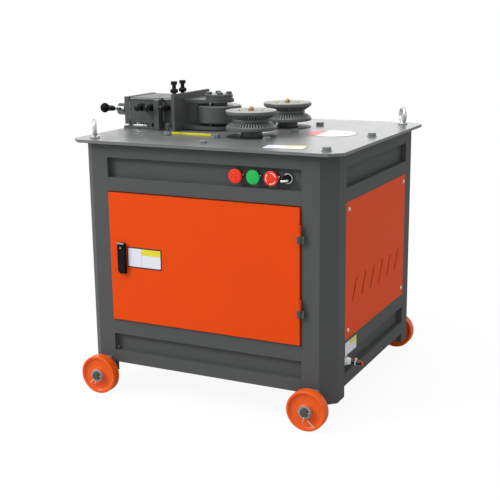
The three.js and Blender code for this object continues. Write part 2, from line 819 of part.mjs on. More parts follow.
// Motor pulley on the motor's shaft
function makeMotorPulley() {
  const shaft = rod(motorShaftRadius, [-motorTopDrop() - motorBore + overrun, -pulleyDrop], "z", smallSides);
  return joined(makePulley(motorPulleyPitchRadius), shaft);
}

function motorTopDrop() {
  return pulleyDrop + pulleyWidth + motorPlateGap + motorPlateThickness + clearance;
}

// The belt's loop round both pulleys, drawn as the two circles' common tangents
function beltLoop(offset) {
  const [big, small] = [pulleyPitchRadius + offset, motorPulleyPitchRadius + offset];
  const lean = Math.asin((big - small) / beltDistance);
  const arc = (cx, r, from, to, steps) => Array.from({ length: steps + 1 }, (_, i) => {
    const angle = from + ((to - from) * i) / steps;
    return [cx + r * Math.cos(angle), r * Math.sin(angle)];
  });
  const edge = Math.PI / 2 + lean;
  return [...arc(0, big, -edge, edge, beltSides), ...arc(-beltDistance, small, edge,
    2 * Math.PI - edge, smallSides)];
}

function makeBelt() {
  const middle = -pulleyDrop - pulleyWidth / 2;
  const band = [middle - beltWidth / 2, middle + beltWidth / 2];
  const outer = prism(beltLoop(beltHeight / 2), band);
  const inner = prism(beltLoop(-beltHeight / 2 + clearance), [band[0] - overrun, band[1] + overrun]);
  return cut(outer, inner);
}

// Gearbox: top plate with bosses and bolts, and the walls round the gears
function makeGearbox() {
  const [outerX, outerY] = [boxInnerX + boxWall, boxInnerY + boxWall];
  const seat = -tableThickness - clearance;
  const plate = block([-boxPlateHalfX, boxPlateHalfX], [-boxPlateHalfY, boxPlateHalfY],
    [seat - boxPlate, seat]);
  const walls = cut(
    block([-outerX, outerX], [-outerY, outerY], [-boxDepth, seat - boxPlate / 2]),
    block([-boxInnerX, boxInnerX], [-boxInnerY, boxInnerY], [-boxDepth - overrun, seat - boxPlate]),
  );
  const bosses = [-1, 1].map((s) =>
    rod(bossRadius, [seat - boxPlate / 2, -bossSink], "z", fineSides).translate([0, s * spindleOffset, 0]));
  const necks = [-1, 1].map((s) => bore(neckRadius, [-boxDepth, overrun]).translate([0, s * spindleOffset, 0]));
  const pinionBoss = rod(bearingBoss, [seat - boxPlate - pinionBearing, seat - boxPlate / 2]);
  const pinionBore = bore(journalRadius, [-boxDepth, seat - boxPlate]);
  const bolts = boxBolts().map(([x, y]) => makeTableBolt(seat - boxPlate / 2).translate([x - driveX, y, 0]));
  return joined(cut(joined(plate, walls, bosses, pinionBoss), necks, pinionBore), bolts);
}

// A hexagon bolt, standing on the table's top
function makeTableBolt(from) {
  const shank = rod(boxBoltRadius, [from, boltHeadHeight / 2], "z", smallSides);
  return joined(shank, rod(boltHeadRadius, [clearance, boltHeadHeight], "z", hexSides));
}

// Gearbox lid with the lower bearings, and the plate on pillars that carries the motor
function makeGearboxLid() {
  const [halfX, halfY] = [boxInnerX + boxWall, boxInnerY + boxWall];
  const top = -boxDepth - clearance;
  const plateTop = -pulleyDrop - pulleyWidth - motorPlateGap;
  const lid = block([-halfX, halfX], [-halfY, halfY], [top - lidThickness, top]);
  const arm = block([-beltDistance - motorPlateHalf, -halfX + overrun], [-motorPlateHalf, motorPlateHalf],
    [top - lidThickness, top]);
  const bearings = [-1, 1].map((s) =>
    rod(bearingBoss, [top - lidThickness / 2, top + bearingHeight]).translate([0, s * spindleOffset, 0]));
  const bores = [-1, 1].map((s) =>
    bore(spindleJournal, [top + bearingFloor, top + bearingHeight + overrun])
      .translate([0, s * spindleOffset, 0]));
  const pinionHole = bore(journalRadius, [top - lidThickness - overrun, top + overrun]);
  const spot = motorPlateHalf - pillarInset;
  const pillars = [-1, 1].flatMap((sx) => [-1, 1].map((sy) =>
    rod(pillarRadius, [plateTop - motorPlateThickness / 2, top - lidThickness / 2], "z", smallSides)
      .translate([-beltDistance + sx * spot, sy * spot, 0])));
  const motorPlate = cut(
    block([-beltDistance - motorPlateHalf, -beltDistance + motorPlateHalf], [-motorPlateHalf, motorPlateHalf],
      [plateTop - motorPlateThickness, plateTop]),
    rod(motorPlateHole, [plateTop - motorPlateThickness - overrun, plateTop + overrun])
      .translate([-beltDistance, 0, 0]),
  );
  return cut(joined(lid, arm, bearings, pillars, motorPlate), bores, pinionHole);
}

// Motor: flange, body, fan cover and terminal box
function makeMotor() {
  const top = -motorTopDrop();
  const body = turned([
    [0, top - motorLength], [motorRadius - fanChamfer, top - motorLength],
    [motorRadius, top - motorLength + fanChamfer], [motorRadius, top - motorFlangeThickness - fanChamfer],
    [motorRadius - fanChamfer, top - motorFlangeThickness], [motorFlangeRadius, top - motorFlangeThickness],
    [motorFlangeRadius, top], [0, top],
  ]);
  const box = block([-terminalBox.width / 2, terminalBox.width / 2],
    [-motorRadius - terminalBox.depth, -motorRadius / 2],
    [top - terminalBox.drop - terminalBox.height, top - terminalBox.drop]);
  return cut(joined(body, box), bore(motorShaftRadius, [top - motorBore, top + overrun], "z", smallSides));
}

// Slide housing: base plate, pads, trough, end plate with the screw's nut, and ribs
function makeSlideHousing() {
  const floorTop = housingFloor + housingWall;
  const base = block([baseLeft, housingRight], [-baseHalfY, baseHalfY], [clearance, basePlate]);
  const trough = cut(
    block([housingLeft, housingRight], [-housingHalfY, housingHalfY], [housingFloor, housingTop]),
    block([housingLeft + endPlate, housingRight + overrun],
      [-housingHalfY + housingWall, housingHalfY - housingWall], [floorTop, housingTop + overrun]),
  );
  const end = block([housingLeft, housingLeft + endPlate], [-endPlateHalfY, endPlateHalfY],
    [endPlateBottom, endPlateTop]);
  const ribEdge = housingTop + housingCover;
  const ribOutline = [
    [housingHalfY - housingWall / 2, basePlate - overrun], [housingHalfY + ribReach, basePlate - overrun],
    [housingHalfY + ribReach, ribEdge - ribSlope], [housingHalfY + clearance, ribEdge],
    [housingHalfY + clearance, housingTop - housingWall / 2],
    [housingHalfY - housingWall / 2, housingTop - housingWall / 2],
  ];
  const ribs = [-1, 1].map((s) =>
    prism(ribOutline.map(([y, z]) => [s * y, z]), [ribLeft, ribLeft + ribThickness], "x"));
  const pads = [0, 1, 2].flatMap((i) => [-1, 1].map((s) => {
    const left = housingLeft + padFirst + i * padPitch;
    const ys = [housingHalfY - padWidth, housingHalfY].map((y) => s * y).sort((a, b) => a - b);
    return block([left, left + padLength], ys, [basePlate / 2, housingFloor + housingWall / 2]);
  }));
  const nut = bore(screwRadius, [housingLeft - overrun, housingLeft + endPlate + overrun], "x")
    .translate([0, 0, screwHeight]);
  const screwHoles = sideScrewsX.map((x) =>
    bore(screwNeck, [housingHalfY - housingWall - overrun, housingHalfY + overrun], "front", smallSides)
      .translate([x, 0, sideScrewZ]));
  return cut(joined(base, trough, end, ribs, pads), nut, screwHoles);
}

function makeSlideCover() {
  const sheet = block([housingLeft + endPlate + clearance, housingRight], [-housingHalfY, housingHalfY],
    [housingTop + clearance, housingTop + housingCover]);
  const holes = [-1, 1].map((s) =>
    bore(screwNeck, [housingTop - overrun, housingTop + housingCover + overrun], "z", smallSides)
      .translate([topScrewX, s * topScrewY, 0]));
  return cut(sheet, holes);
}

// A clamping screw from its gib outwards: neck, lock nut and head, measured from the wall's outer face
function clampScrew(inside, axis) {
  const neck = rod(screwNeck, [-inside, headStart + overrun], axis, smallSides);
  const nutEnd = nutStart + nutHeight;
  const nut = turned([[0, nutStart], [headRadius, nutStart], [nutRadius, nutStart + nutChamfer],
    [nutRadius, nutEnd - nutChamfer], [headRadius, nutEnd], [0, nutEnd]], axis, smallSides);
  const head = rod(headRadius, [headStart, headStart + headHeight], axis, smallSides);
  return joined(neck, nut, head);
}

function makeSideGib() {
  const inner = housingHalfY - housingWall - clearance;
  const strip = block([gibRight - gibLength, gibRight], [-inner, -inner + gibThickness], [gibBottom, ramTop]);
  const screws = sideScrewsX.map((x) =>
    clampScrew(housingWall + gibThickness / 2, "front").translate([x, -housingHalfY, sideScrewZ]));
  return joined(strip, screws);
}

function makeTopGib() {
  const top = ramTop + clearance + topGibThickness;
  const strip = block([gibRight - gibLength, gibRight], [-topGibHalfY, topGibHalfY], [ramTop + clearance, top]);
  const wall = housingTop + housingCover;
  const screws = [-1, 1].map((s) =>
    clampScrew(wall - top + topGibThickness / 2, "z").translate([topScrewX, s * topScrewY, wall]));
  return joined(strip, screws);
}

// Press slide: the ram in the housing, the face plate and the fork
function makePressSlide() {
  const floor = housingFloor + housingWall + ramFloorGap;
  const ramRight = faceX - facePlate / 2;
  const face = block([faceX - facePlate, faceX], [-faceHalfY, faceHalfY], [faceBottom, faceTop]);
  const ramRear = housingHalfY - housingWall - clearance;
  const ram = block([ramLeft, ramRight], [gibThickness + clearance - ramRear, ramRear], [floor, ramTop]);
  const pocketLeft = ramLeft + swivelInset;
  const screwBore = bore(screwRadius, [ramLeft - overrun, pocketLeft + overrun], "x");
  const pocket = bore(swivelRadius, [pocketLeft, pocketLeft + swivelThickness + 2 * clearance], "x");
  const upper = joined(
    prism([[faceX - facePlate / 2, -upperForkHalfY], [pressX, -upperForkEnd], [pressX, upperForkEnd],
      [faceX - facePlate / 2, upperForkHalfY]], [upperForkBottom, upperForkBottom + upperForkThickness]),
    rod(upperForkEnd, [upperForkBottom, upperForkBottom + upperForkThickness], "z", fineSides)
      .translate([pressX, 0, 0]),
  );
  const lowerBand = [lowerForkBottom, lowerForkBottom + lowerForkThickness];
  const lower = joined(
    block([faceX - facePlate / 2, pressX], [-lowerForkRadius, lowerForkRadius], lowerBand),
    rod(lowerForkRadius, lowerBand, "z", fineSides).translate([pressX, 0, 0]),
  );
  const pinHole = rod(pinRadius + clearance, [0, faceTop]).translate([pressX, 0, 0]);
  const screwTools = joined(screwBore, pocket).translate([0, 0, screwHeight]);
  return cut(joined(face, ram, upper, lower), pinHole, screwTools);
}

// Press pin with the cap that is bolted on the fork
function makePressPin() {
  const seat = upperForkBottom + upperForkThickness + clearance;
  const capTop = seat + capThickness;
  const bottom = lowerForkBottom + clearance;
  const body = turned([[0, bottom], [pinRadius, bottom], [pinRadius, seat], [capRadius, seat],
    [capRadius, capTop - rollChamfer], [capRadius - rollChamfer, capTop], [0, capTop]]);
  const bolts = Array.from({ length: capBoltCount }, (_, i) => {
    const angle = capBoltTurn + (i * 2 * Math.PI) / capBoltCount;
    return rod(capBoltRadius, [capTop - rollChamfer, capTop + capBoltHeight], "z", hexSides)
      .translate([capBoltCircle * Math.cos(angle), capBoltCircle * Math.sin(angle), 0]);
  });
  return joined(body, bolts);
}

// Feed screw, from the crossbar's hub to the swivel in the ram
function makeFeedScrew() {
  const swivelLeft = ramLeft + swivelInset + clearance;
  const swivelRight = swivelLeft + swivelThickness;
  return turned([
    [0, screwEnd], [screwRadius - rollChamfer, screwEnd], [screwRadius, screwEnd + rollChamfer],
    [screwRadius, swivelLeft], [swivelRadius, swivelLeft], [swivelRadius, swivelRight], [0, swivelRight],
  ], "x");
}

function makeCrossbar() {
  const inner = boreRadius(screwRadius);
  const hub = turned([
    [inner, -hubLength / 2], [hubOuterRadius - rollChamfer, -hubLength / 2],
    [hubOuterRadius, -hubLength / 2 + rollChamfer], [hubOuterRadius, hubLength / 2 - rollChamfer],
    [hubOuterRadius - rollChamfer, hubLength / 2], [inner, hubLength / 2], [inner, -hubLength / 2],
  ], "x");
  const bars = [-1, 1].map((s) =>
    rod(barRadius, [screwRadius + 3 * clearance, barHalfLength], s < 0 ? "front" : "y", smallSides));
  return joined(hub, bars);
}

function makeGrip(axis) {
  const inner = boreRadius(barRadius);
  const floor = barHalfLength + clearance;
  return turned([
    [0, floor], [inner, floor], [inner, gripStart], [gripRoot, gripStart], [gripWide, gripWideAt],
    [gripWide, (gripWideAt + gripShoulder) / 2], [gripWide * gripEndShare, gripEnd], [0, gripEnd],
  ], axis, roundSides);
}

// Gland in the right lower recess, built along +X from the recess panel
function makeGland() {
  const tail = -railSheet - glandTail;
  return turned([
    [leadRadius + leadAir, tail], [glandThread, tail], [glandThread, clearance], [glandRadius, clearance],
    [glandRadius, glandFlange], [glandRadius - glandChamfer, glandFlange + glandChamfer],
    [glandNose, glandLength], [leadRadius + leadAir, glandLength], [leadRadius + leadAir, tail],
  ], "x", roundSides).translate(glandPlace);
}

// Supply lead: the short bundle of tied wires that stands out of the gland
function makeLead() {
  const curve = new THREE.CatmullRomCurve3(leadRoute.map((p) => new THREE.Vector3(...p)), false, "centripetal");
  const ring = Array.from({ length: tubeSides }, (_, i) => {
    const angle = (2 * Math.PI * i) / tubeSides;
    return new THREE.Vector2(leadRadius * Math.cos(angle), leadRadius * Math.sin(angle));
  });
  const bundle = new THREE.ExtrudeGeometry(new THREE.Shape(ring), { steps: leadSteps, extrudePath: curve });
  return solid(bundle).translate(glandPlace);
}

// Assembly. Pieces on and under the table hang from a group at the table's top face.
const machine = new THREE.Group();
machine.position.x = -originX;
const onTable = new THREE.Group();
onTable.position.z = tableHeight;
const onDrive = new THREE.Group();
onDrive.position.x = driveX;
onTable.add(onDrive);
machine.add(onTable);

const corners = [["front_left", -1, -1], ["front_right", 1, -1], ["rear_left", -1, 1], ["rear_right", 1, 1]];
const wheelShape = makeWheel();
const axleShape = makeAxle();
for (const [corner, sx, sy] of corners) {
  machine.add(piece("leg_" + corner, makeLeg(sx, sy), greyPaint));
  machine.add(piece("wheel_" + corner, wheelShape, wheelOrange,
    [sx * wheelX, sy * (wheelFace - wheelWidth / 2), wheelRadius]));
  const axle = piece("axle_" + corner, axleShape, zinc, [sx * wheelX, 0, wheelRadius]);
  if (sy < 0) axle.rotation.z = Math.PI;
  machine.add(axle);
}

machine.add(
  piece("rail_front_upper", makeSwitchRail(), greyPaint),
  piece("rail_front_lower", makeRailX(lowerRail, -1), greyPaint),
  piece("rail_rear_upper", makeRailX(upperRail, 1), greyPaint),
  piece("rail_rear_lower", makeRailX(lowerRail, 1), greyPaint),
  piece("rail_left_upper", makeRailY(upperRail, -1), greyPaint),
  piece("rail_left_lower", makeRailY(lowerRail, -1), greyPaint),
  piece("rail_right_upper", makeRailY(upperRail, 1), greyPaint),
  piece("rail_right_lower", makeSupplyRail(), greyPaint),
  piece("cover_right", makeSideCover(1), orangePaint),
  piece("cover_left", makeSideCover(-1), orangePaint),
  piece("cover_rear", makeRearCover(), orangePaint),
);

machine.add(
  piece("front_door", makeDoor(), orangePaint),
  piece("hinge_upper", makeHinge(hingeJoints.upper), greyPaint),
  piece("hinge_lower", makeHinge(hingeJoints.lower), greyPaint),
  piece("latch_plate", makeLatchPlate(), blackPlastic),
  piece("latch_lever", makeLatchLever(), blackPlastic),
);

const onPanel = (name) => [switches[name], panelFace, switchZ];
machine.add(
  piece("switch_station", makeSwitchStation(), chrome),
  piece("stop_button", makeMushroom(mushroomRadius), redPlastic, onPanel("stop")),
  piece("start_button", makeMushroom(mushroomRadius), greenPlastic, onPanel("start")),
  piece("emergency_button", makeMushroom(emergencyRadius), redPlastic, onPanel("emergency")),
  piece("selector_switch", makeSelector(), blackPlastic, onPanel("selector")),
  piece("supply_gland", makeGland(), palePlastic),
  piece("supply_lead", makeLead(), rubber),
);

const eyeShape = makeEye();
onTable.add(
  piece("table_top", makeTableTop(), greyPaint),
  piece("lifting_eye_front", eyeShape, zinc, [-eyeX, -eyeY, 0]),
  piece("lifting_eye_rear", eyeShape, zinc, [eyeX, eyeY, 0]),
  piece("slide_housing", makeSlideHousing(), greyPaint),
  piece("slide_cover", makeSlideCover(), greyPaint),
  piece("side_gib", makeSideGib(), blackOxide),
  piece("top_gib", makeTopGib(), blackOxide),
  piece("press_slide", makePressSlide(), greyPaint),
  piece("press_roll", makePressRoll(), castIron, [pressX, 0, 0]),
  piece("press_pin", makePressPin(), greyPaint, [pressX, 0, 0]),
  piece("feed_screw", makeFeedScrew(), zinc, [0, 0, screwHeight]),
  piece("scale_strip", block([scaleLeft, scaleLeft + scaleLength], [scaleY - scaleThickness / 2,
    scaleY + scaleThickness / 2], [clearance, scaleHeight]), yellowPaint),
);

const crossbar = new THREE.Group();
crossbar.position.set(hubX, 0, screwHeight);
crossbar.rotation.x = crossbarTilt;
crossbar.add(
  piece("crossbar", makeCrossbar(), zinc),
  piece("crossbar_grip_front", makeGrip("front"), blackPlastic),
  piece("crossbar_grip_rear", makeGrip("y"), blackPlastic),
);
onTable.add(crossbar);

const rollShape = makeDriveRoll();
for (const [side, s] of [["front", -1], ["rear", 1]]) {
  onDrive.add(piece("drive_roll_" + side, rollShape, castIron, [0, s * spindleOffset, 0]));
  onDrive.add(piece("spindle_" + side, makeSpindle(s), steel, [0, s * spindleOffset, 0]));
}
onDrive.add(
  piece("pinion_shaft", makePinionShaft(), steel),
  piece("gearbox", makeGearbox(), castIron),
  piece("gearbox_lid", makeGearboxLid(), castIron),
  piece("drive_belt", makeBelt(), rubber),
  piece("motor", makeMotor(), motorPaint, [motorX - driveX, 0, 0]),
  piece("motor_pulley", makeMotorPulley(), steel, [motorX - driveX, 0, 0]),
);

export default machine;
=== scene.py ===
"""The looks of a spiral ring making machine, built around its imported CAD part.

A painted cabinet stands on four orange wheels. Its table carries two slotted drive rolls, a press roll in a
sliding fork, and the screw that feeds the fork. Sizes are in metres, or in millimetres where mm() takes them,
and places come from the CAD pieces.
"""
import math

import bmesh
import bpy
from mathutils import Matrix, Vector


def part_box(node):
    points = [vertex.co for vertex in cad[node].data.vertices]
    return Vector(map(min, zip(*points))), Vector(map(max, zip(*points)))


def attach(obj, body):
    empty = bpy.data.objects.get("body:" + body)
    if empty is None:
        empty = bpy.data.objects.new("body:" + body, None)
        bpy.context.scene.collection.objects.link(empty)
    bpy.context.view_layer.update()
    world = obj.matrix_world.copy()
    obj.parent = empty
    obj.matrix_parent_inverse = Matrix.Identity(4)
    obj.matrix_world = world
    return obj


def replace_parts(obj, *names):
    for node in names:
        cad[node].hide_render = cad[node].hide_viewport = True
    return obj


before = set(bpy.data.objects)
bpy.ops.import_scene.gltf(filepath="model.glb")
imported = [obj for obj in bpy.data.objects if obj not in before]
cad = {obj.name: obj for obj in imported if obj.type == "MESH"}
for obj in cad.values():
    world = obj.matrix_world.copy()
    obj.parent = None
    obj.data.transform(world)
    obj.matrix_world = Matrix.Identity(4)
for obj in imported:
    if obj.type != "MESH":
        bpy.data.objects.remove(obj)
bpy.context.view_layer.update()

# Camera, solved from the photograph
CAMERA_AT = Vector((1.3116, -2.6256, 1.0810))
CAMERA_TURN = 26.32
CAMERA_RISE = math.radians(13.69)
CAMERA_ROLL = -0.66
LENS = 72.6
SENSOR = 36

# Steps round the turned pieces
FINE_STEPS = 120
BROAD_STEPS = 96
HEAD_STEPS = 64
SMALL_STEPS = 48
SCREW_STEPS = 40
SLIM_STEPS = 32
HEXAGON = 6


def low(node):
    return Vector(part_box(node)[0])


def high(node):
    return Vector(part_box(node)[1])


def middle(node):
    return (low(node) + high(node)) / 2


def half_size(node):
    """Half of a CAD piece's length, depth and height."""
    return (high(node) - low(node)) / 2


def on_top(node):
    """The middle of a CAD piece's upper face."""
    return Vector((*middle(node).xy, high(node).z))


TABLE = high("table_top").z
MIDDLE = middle("table_top").x


def at(x, y, z):
    """A place in metres, measured sideways from the middle of the table."""
    return Vector((MIDDLE + x, y, z))


def mm(*points):
    """Points given in millimetres, as metres."""
    return [tuple(value / 1000 for value in point) for point in points]


def linear(red, green, blue):
    """An sRGB colour, 0 to 255, as the linear colour that a shader takes."""
    def channel(value):
        share = value / 255
        return share / 12.92 if share <= 0.04045 else ((share + 0.055) / 1.055) ** 2.4
    return (channel(red), channel(green), channel(blue), 1)


# Shader building

def put(tree, kind, inputs=None, **settings):
    """A node with its settings and inputs. An input that is a socket is linked."""
    node = tree.nodes.new(kind)
    for name, value in settings.items():
        setattr(node, name, value)
    for name, value in (inputs or {}).items():
        if isinstance(value, bpy.types.NodeSocket):
            tree.links.new(value, node.inputs[name])
        else:
            node.inputs[name].default_value = value
    return node


def sums(tree, operation, first, second, third=0.0, clamp=False):
    return put(tree, "ShaderNodeMath", {0: first, 1: second, 2: third}, operation=operation,
               use_clamp=clamp).outputs[0]


def times(tree, first, second):
    return sums(tree, "MULTIPLY", first, second)


def scaled(tree, colour, factor):
    return put(tree, "ShaderNodeVectorMath", {0: colour, "Scale": factor}, operation="SCALE").outputs[0]


def distance(tree, vector):
    return put(tree, "ShaderNodeVectorMath", {0: vector}, operation="LENGTH").outputs["Value"]


def blend_colours(tree, share, first, second):
    return put(tree, "ShaderNodeMix", {0: share, 6: first, 7: second}, data_type="RGBA").outputs[2]


def spread(tree, value, from_low, from_high, to_low=0.0, to_high=1.0):
    return put(tree, "ShaderNodeMapRange", {0: value, 1: from_low, 2: from_high, 3: to_low, 4: to_high}).outputs[0]


def noise(tree, place, scale, detail, roughness):
    """Noise from 0 to 1 with about this many patches to a metre."""
    return put(tree, "ShaderNodeTexNoise", {"Vector": place, "Scale": scale, "Detail": detail,
                                            "Roughness": roughness}).outputs["Fac"]


def own_place(tree):
    """The piece's own coordinates, in metres, which move with it."""
    return put(tree, "ShaderNodeTexCoord").outputs["Object"]


def effect(name, **values):
    """A new node group for a colour, a roughness and the named values, with its inputs and the piece's place."""
    group = bpy.data.node_groups.new(name, "ShaderNodeTree")
    group.interface.new_socket("Colour", in_out="INPUT", socket_type="NodeSocketColor")
    for socket, default in {"Roughness": 0.4, **values}.items():
        group.interface.new_socket(socket, in_out="INPUT", socket_type="NodeSocketFloat").default_value = default
    for socket, kind in (("Colour", "Color"), ("Roughness", "Float"), ("Height", "Float")):
        group.interface.new_socket(socket, in_out="OUTPUT", socket_type="NodeSocket" + kind)
    return group, group.nodes.new("NodeGroupInput").outputs, own_place(group)


def give(group, colour, roughness, height):
    """Links what an effect hands on, and gives the effect back."""
    result = group.nodes.new("NodeGroupOutput").inputs
    for socket, value in (("Colour", colour), ("Roughness", roughness), ("Height", height)):
        group.links.new(value, result[socket])
    return group


def give_worn(group, given, pattern, worn, dulling, height):
    """Hands on a colour that turns to the worn one where the pattern is strong, and is duller there."""
    amount = times(group, pattern, given["Wear"])
    colour = blend_colours(group, amount, given["Colour"], worn)
    return give(group, colour, sums(group, "ADD", given["Roughness"], times(group, amount, dulling), clamp=True),
                height)


def make_paint_film():
    """Sprayed paint: broad changes of tone, faint runs of dust, and the fine skin of the spray."""
    group, given, place = effect("paint_film", Wear=0.15, Dust=0.1, Skin=420.0)
    broad = noise(group, place, 5.0, 4.0, 0.55)
    middling = noise(group, place, 34.0, 3.0, 0.6)
    cloud = sums(group, "ADD", times(group, broad, 0.7), times(group, middling, 0.3))
    shade = sums(group, "MULTIPLY_ADD", sums(group, "SUBTRACT", cloud, 0.5), given["Wear"], 1.0)
    upward = put(group, "ShaderNodeSeparateXYZ", {0: put(group, "ShaderNodeNewGeometry").outputs["Normal"]})
    flat = spread(group, upward.outputs["Z"], 0.6, 1.0)
    speckle = spread(group, noise(group, place, 150.0, 4.0, 0.7), 0.45, 0.75)
    dusty = times(group, times(group, flat, speckle), given["Dust"])
    colour = blend_colours(group, dusty, scaled(group, given["Colour"], shade), linear(168, 166, 160))
    rough = sums(group, "MULTIPLY_ADD", sums(group, "SUBTRACT", middling, 0.5), 0.12, given["Roughness"])
    return give(group, colour, sums(group, "ADD", rough, times(group, dusty, 0.5), clamp=True),
                noise(group, place, given["Skin"], 2.0, 0.5))


def make_turned_marks():
    """The fine rings that a lathe leaves round the piece's own axis, and the stains of handling."""
    group, given, place = effect("turned_marks", Wear=0.3)
    split = put(group, "ShaderNodeSeparateXYZ", {0: place}).outputs
    flat = put(group, "ShaderNodeCombineXYZ", {0: split["X"], 1: split["Y"]}).outputs[0]
    along = put(group, "ShaderNodeCombineXYZ", {0: distance(group, flat), 1: split["Z"]}).outputs[0]
    stains = spread(group, noise(group, place, 38.0, 5.0, 0.65), 0.42, 0.72)
    return give_worn(group, given, stains, scaled(group, given["Colour"], 0.55), 0.3,
                     noise(group, along, 900.0, 2.0, 0.6))


def make_bright_plating():
    """Zinc and bare steel: soft clouds in the plating, darker spots and fine scratches."""
    group, given, place = effect("bright_plating", Wear=0.25)
    clouds = spread(group, noise(group, place, 90.0, 4.0, 0.6), 0.4, 0.7)
    stretched = put(group, "ShaderNodeMapping", {"Vector": place, "Scale": (1, 1, 14)}).outputs[0]
    return give_worn(group, given, clouds, scaled(group, given["Colour"], 0.6), 0.5,
                     noise(group, stretched, 380.0, 2.0, 0.6))


def make_moulded_skin():
    """Moulded plastic: a fine grain, and the dull patches that fingers leave."""
    group, given, place = effect("moulded_skin", Wear=0.2)
    patches = spread(group, noise(group, place, 60.0, 3.0, 0.6), 0.4, 0.75)
    lighter = blend_colours(group, 0.12, given["Colour"], (1, 1, 1, 1))
    return give_worn(group, given, patches, lighter, 0.4, noise(group, place, 1500.0, 2.0, 0.5))


effects = {
    "paint": make_paint_film(),
    "turned": make_turned_marks(),
    "plating": make_bright_plating(),
    "moulded": make_moulded_skin(),
}

# Each finish: the slot it stands for, its effect and sRGB colour, then what differs from the usual: the
# strength of its relief, its roughness, the strength of its wear, its specular level, how metallic it is, and more
FINISHES = {
    "frame_paint": ("grey_paint", "paint", (82, 84, 84), 0.25, 0.55, 0.16, 0.12, 0, {"Dust": 0.06}),
    "housing_paint": ("grey_paint", "paint", (74, 77, 77), 0.25, 0.42, 0.16, 0.35, 0, {"Dust": 0.06}),
    "table_paint": ("table_paint", "paint", (104, 106, 105), 0.02, 0.33, 0.08, 0.6, 0, {"Dust": 0.04, "Skin": 900}),
    "orange_paint": ("orange_paint", "paint", (225, 73, 12), 0.12, 0.5, 0.08, 0.1, 0, {"Dust": 0.02, "Skin": 480}),
    "wheel_paint": ("wheel_orange", "paint", (234, 90, 18), 0.12, 0.34, 0.1, 0.3, 0,
                    {"Dust": 0.02, "Skin": 600, "Coat Weight": 0.05, "Coat Roughness": 0.2}),
    "axle_steel": ("steel", "turned", (74, 75, 70), 0.15, 0.5, 0.3, 0.3),
    "roll_paint": ("cast_iron", "turned", (92, 95, 95), 0.2, 0.36, 0.25, 0.5, 0.1),
    # partly painted sheen: the turned ends of the rolls are painted lighter than their sides, for the sheen they
    # show
    "roll_end_sheen": ("cast_iron", "turned", (156, 155, 151), 0.15, 0.5, 0.2, 0.15),
    # painted highlight: the teeth on the rolls' flanks are painted lighter, as they look where lit
    "tooth_painted_highlight": ("cast_iron", "turned", (138, 140, 140), 0.2, 0.4, 0.3, 0.4),
    "bolt_paint": ("grey_paint", "paint", (116, 121, 124), 0.1, 0.4, 0.15, 0.5, 0, {"Dust": 0.05, "Skin": 900}),
    "slot_shade": ("cast_iron", "turned", (30, 32, 33), 0.1, 0.6, 0.2, 0.15),
    # partly painted shade: the seat plates under the rolls are darker than the frame, for the shade under each roll
    "seat_paint_and_shade": ("grey_paint", "turned", (56, 58, 58), 0.15, 0.5, 0.2, 0.3),
    "dark_steel": ("zinc", "plating", (118, 122, 122), 0.15, 0.24, 0.35, 0.5, 1),
    "drum_paint": ("cast_iron", "turned", (80, 84, 84), 0.2, 0.33, 0.25, 0.5, 0.15),
    "steel": ("steel", "turned", (150, 152, 154), 0.25, 0.32, 0.3, 0.5, 0.9),
    "zinc": ("zinc", "plating", (222, 226, 224), 0.15, 0.26, 0.25, 0.5, 0.8),
    "dull_zinc": ("zinc", "plating", (166, 170, 168), 0.2, 0.4, 0.4, 0.5, 0.55),
    "chrome": ("chrome", "plating", (222, 224, 226), 0.04, 0.14, 0.08, 0.5, 1),
    "brass": ("zinc", "plating", (188, 140, 84), 0.1, 0.28, 0.5, 0.5, 0.75),
    # partly painted highlight: the pale beads stand for welds and for the highlights along the housing's edges
    "weld_and_highlight": ("steel", "plating", (128, 133, 135), 0.4, 0.38, 0.5, 0.5, 0.2),
    "black_plastic": ("black_plastic", "moulded", (5, 5, 6), 0.1, 0.5, 0.1, 0.1),
    "black_oxide": ("black_oxide", "plating", (22, 23, 24), 0.2, 0.36, 0.4, 0.3, 0.3),
    "blued_steel": ("black_oxide", "plating", (36, 37, 39), 0.1, 0.2, 0.3, 0.5, 0.8),
    "red_plastic": ("red_plastic", "moulded", (232, 48, 14), 0.05, 0.34, 0.1, 0.3),
    # painted highlight: lighter dots on the push heads
    "red_dot": ("red_plastic", "moulded", (244, 96, 64)),
    "green_plastic": ("green_plastic", "moulded", (22, 178, 80), 0.05, 0.34, 0.1, 0.3),
    "green_dot": ("green_plastic", "moulded", (76, 204, 118)),
    "white_ink": ("pale_plastic", "moulded", (248, 214, 204), 0.05, 0.5),
    "pale_plastic": ("pale_plastic", "moulded", (242, 249, 252), 0.15, 0.45),
    "label_white": ("pale_plastic", "moulded", (222, 224, 234), 0.05, 0.4, 0.1),
    "label_yellow": ("yellow_paint", "moulded", (224, 212, 34)),
    "label_red": ("red_plastic", "moulded", (206, 84, 60)),
    "label_border": ("black_plastic", "moulded", (34, 26, 26), 0.05, 0.45),
    "label_line": ("pale_plastic", "moulded", (170, 170, 178), 0.05, 0.45),
    # painted shade: flat dark marks that stand for hollows in the rolls' ends
    "hole_shade": ("black_plastic", "moulded", (20, 21, 22), 0.05, 0.7, 0.2, 0.1),
    "scale_paint": ("yellow_paint", "paint", (216, 206, 40), 0.15, 0.4, 0.16, 0.2),
    "rubber": ("rubber", "moulded", (24, 24, 25), 0.2, 0.6),
    "motor_paint": ("motor_paint", "paint", (62, 74, 84), 0.3, 0.45),
    "wire_black": ("rubber", "moulded", (14, 14, 15)),
    "wire_red": ("rubber", "moulded", (224, 92, 70)),
    "wire_green": ("rubber", "moulded", (20, 142, 116)),
    "copper": ("zinc", "plating", (196, 128, 92), 0.1, 0.35, 0.3, 0.5, 0.7),
    "tie": ("pale_plastic", "moulded", (222, 228, 236)),
}
RELIEF_DEPTH = 0.0004


def new_material(name):
    """A material with its nodes and its Principled shader."""
    material = bpy.data.materials.new(name)
    material.use_nodes = True
    return material, material.node_tree, material.node_tree.nodes["Principled BSDF"]


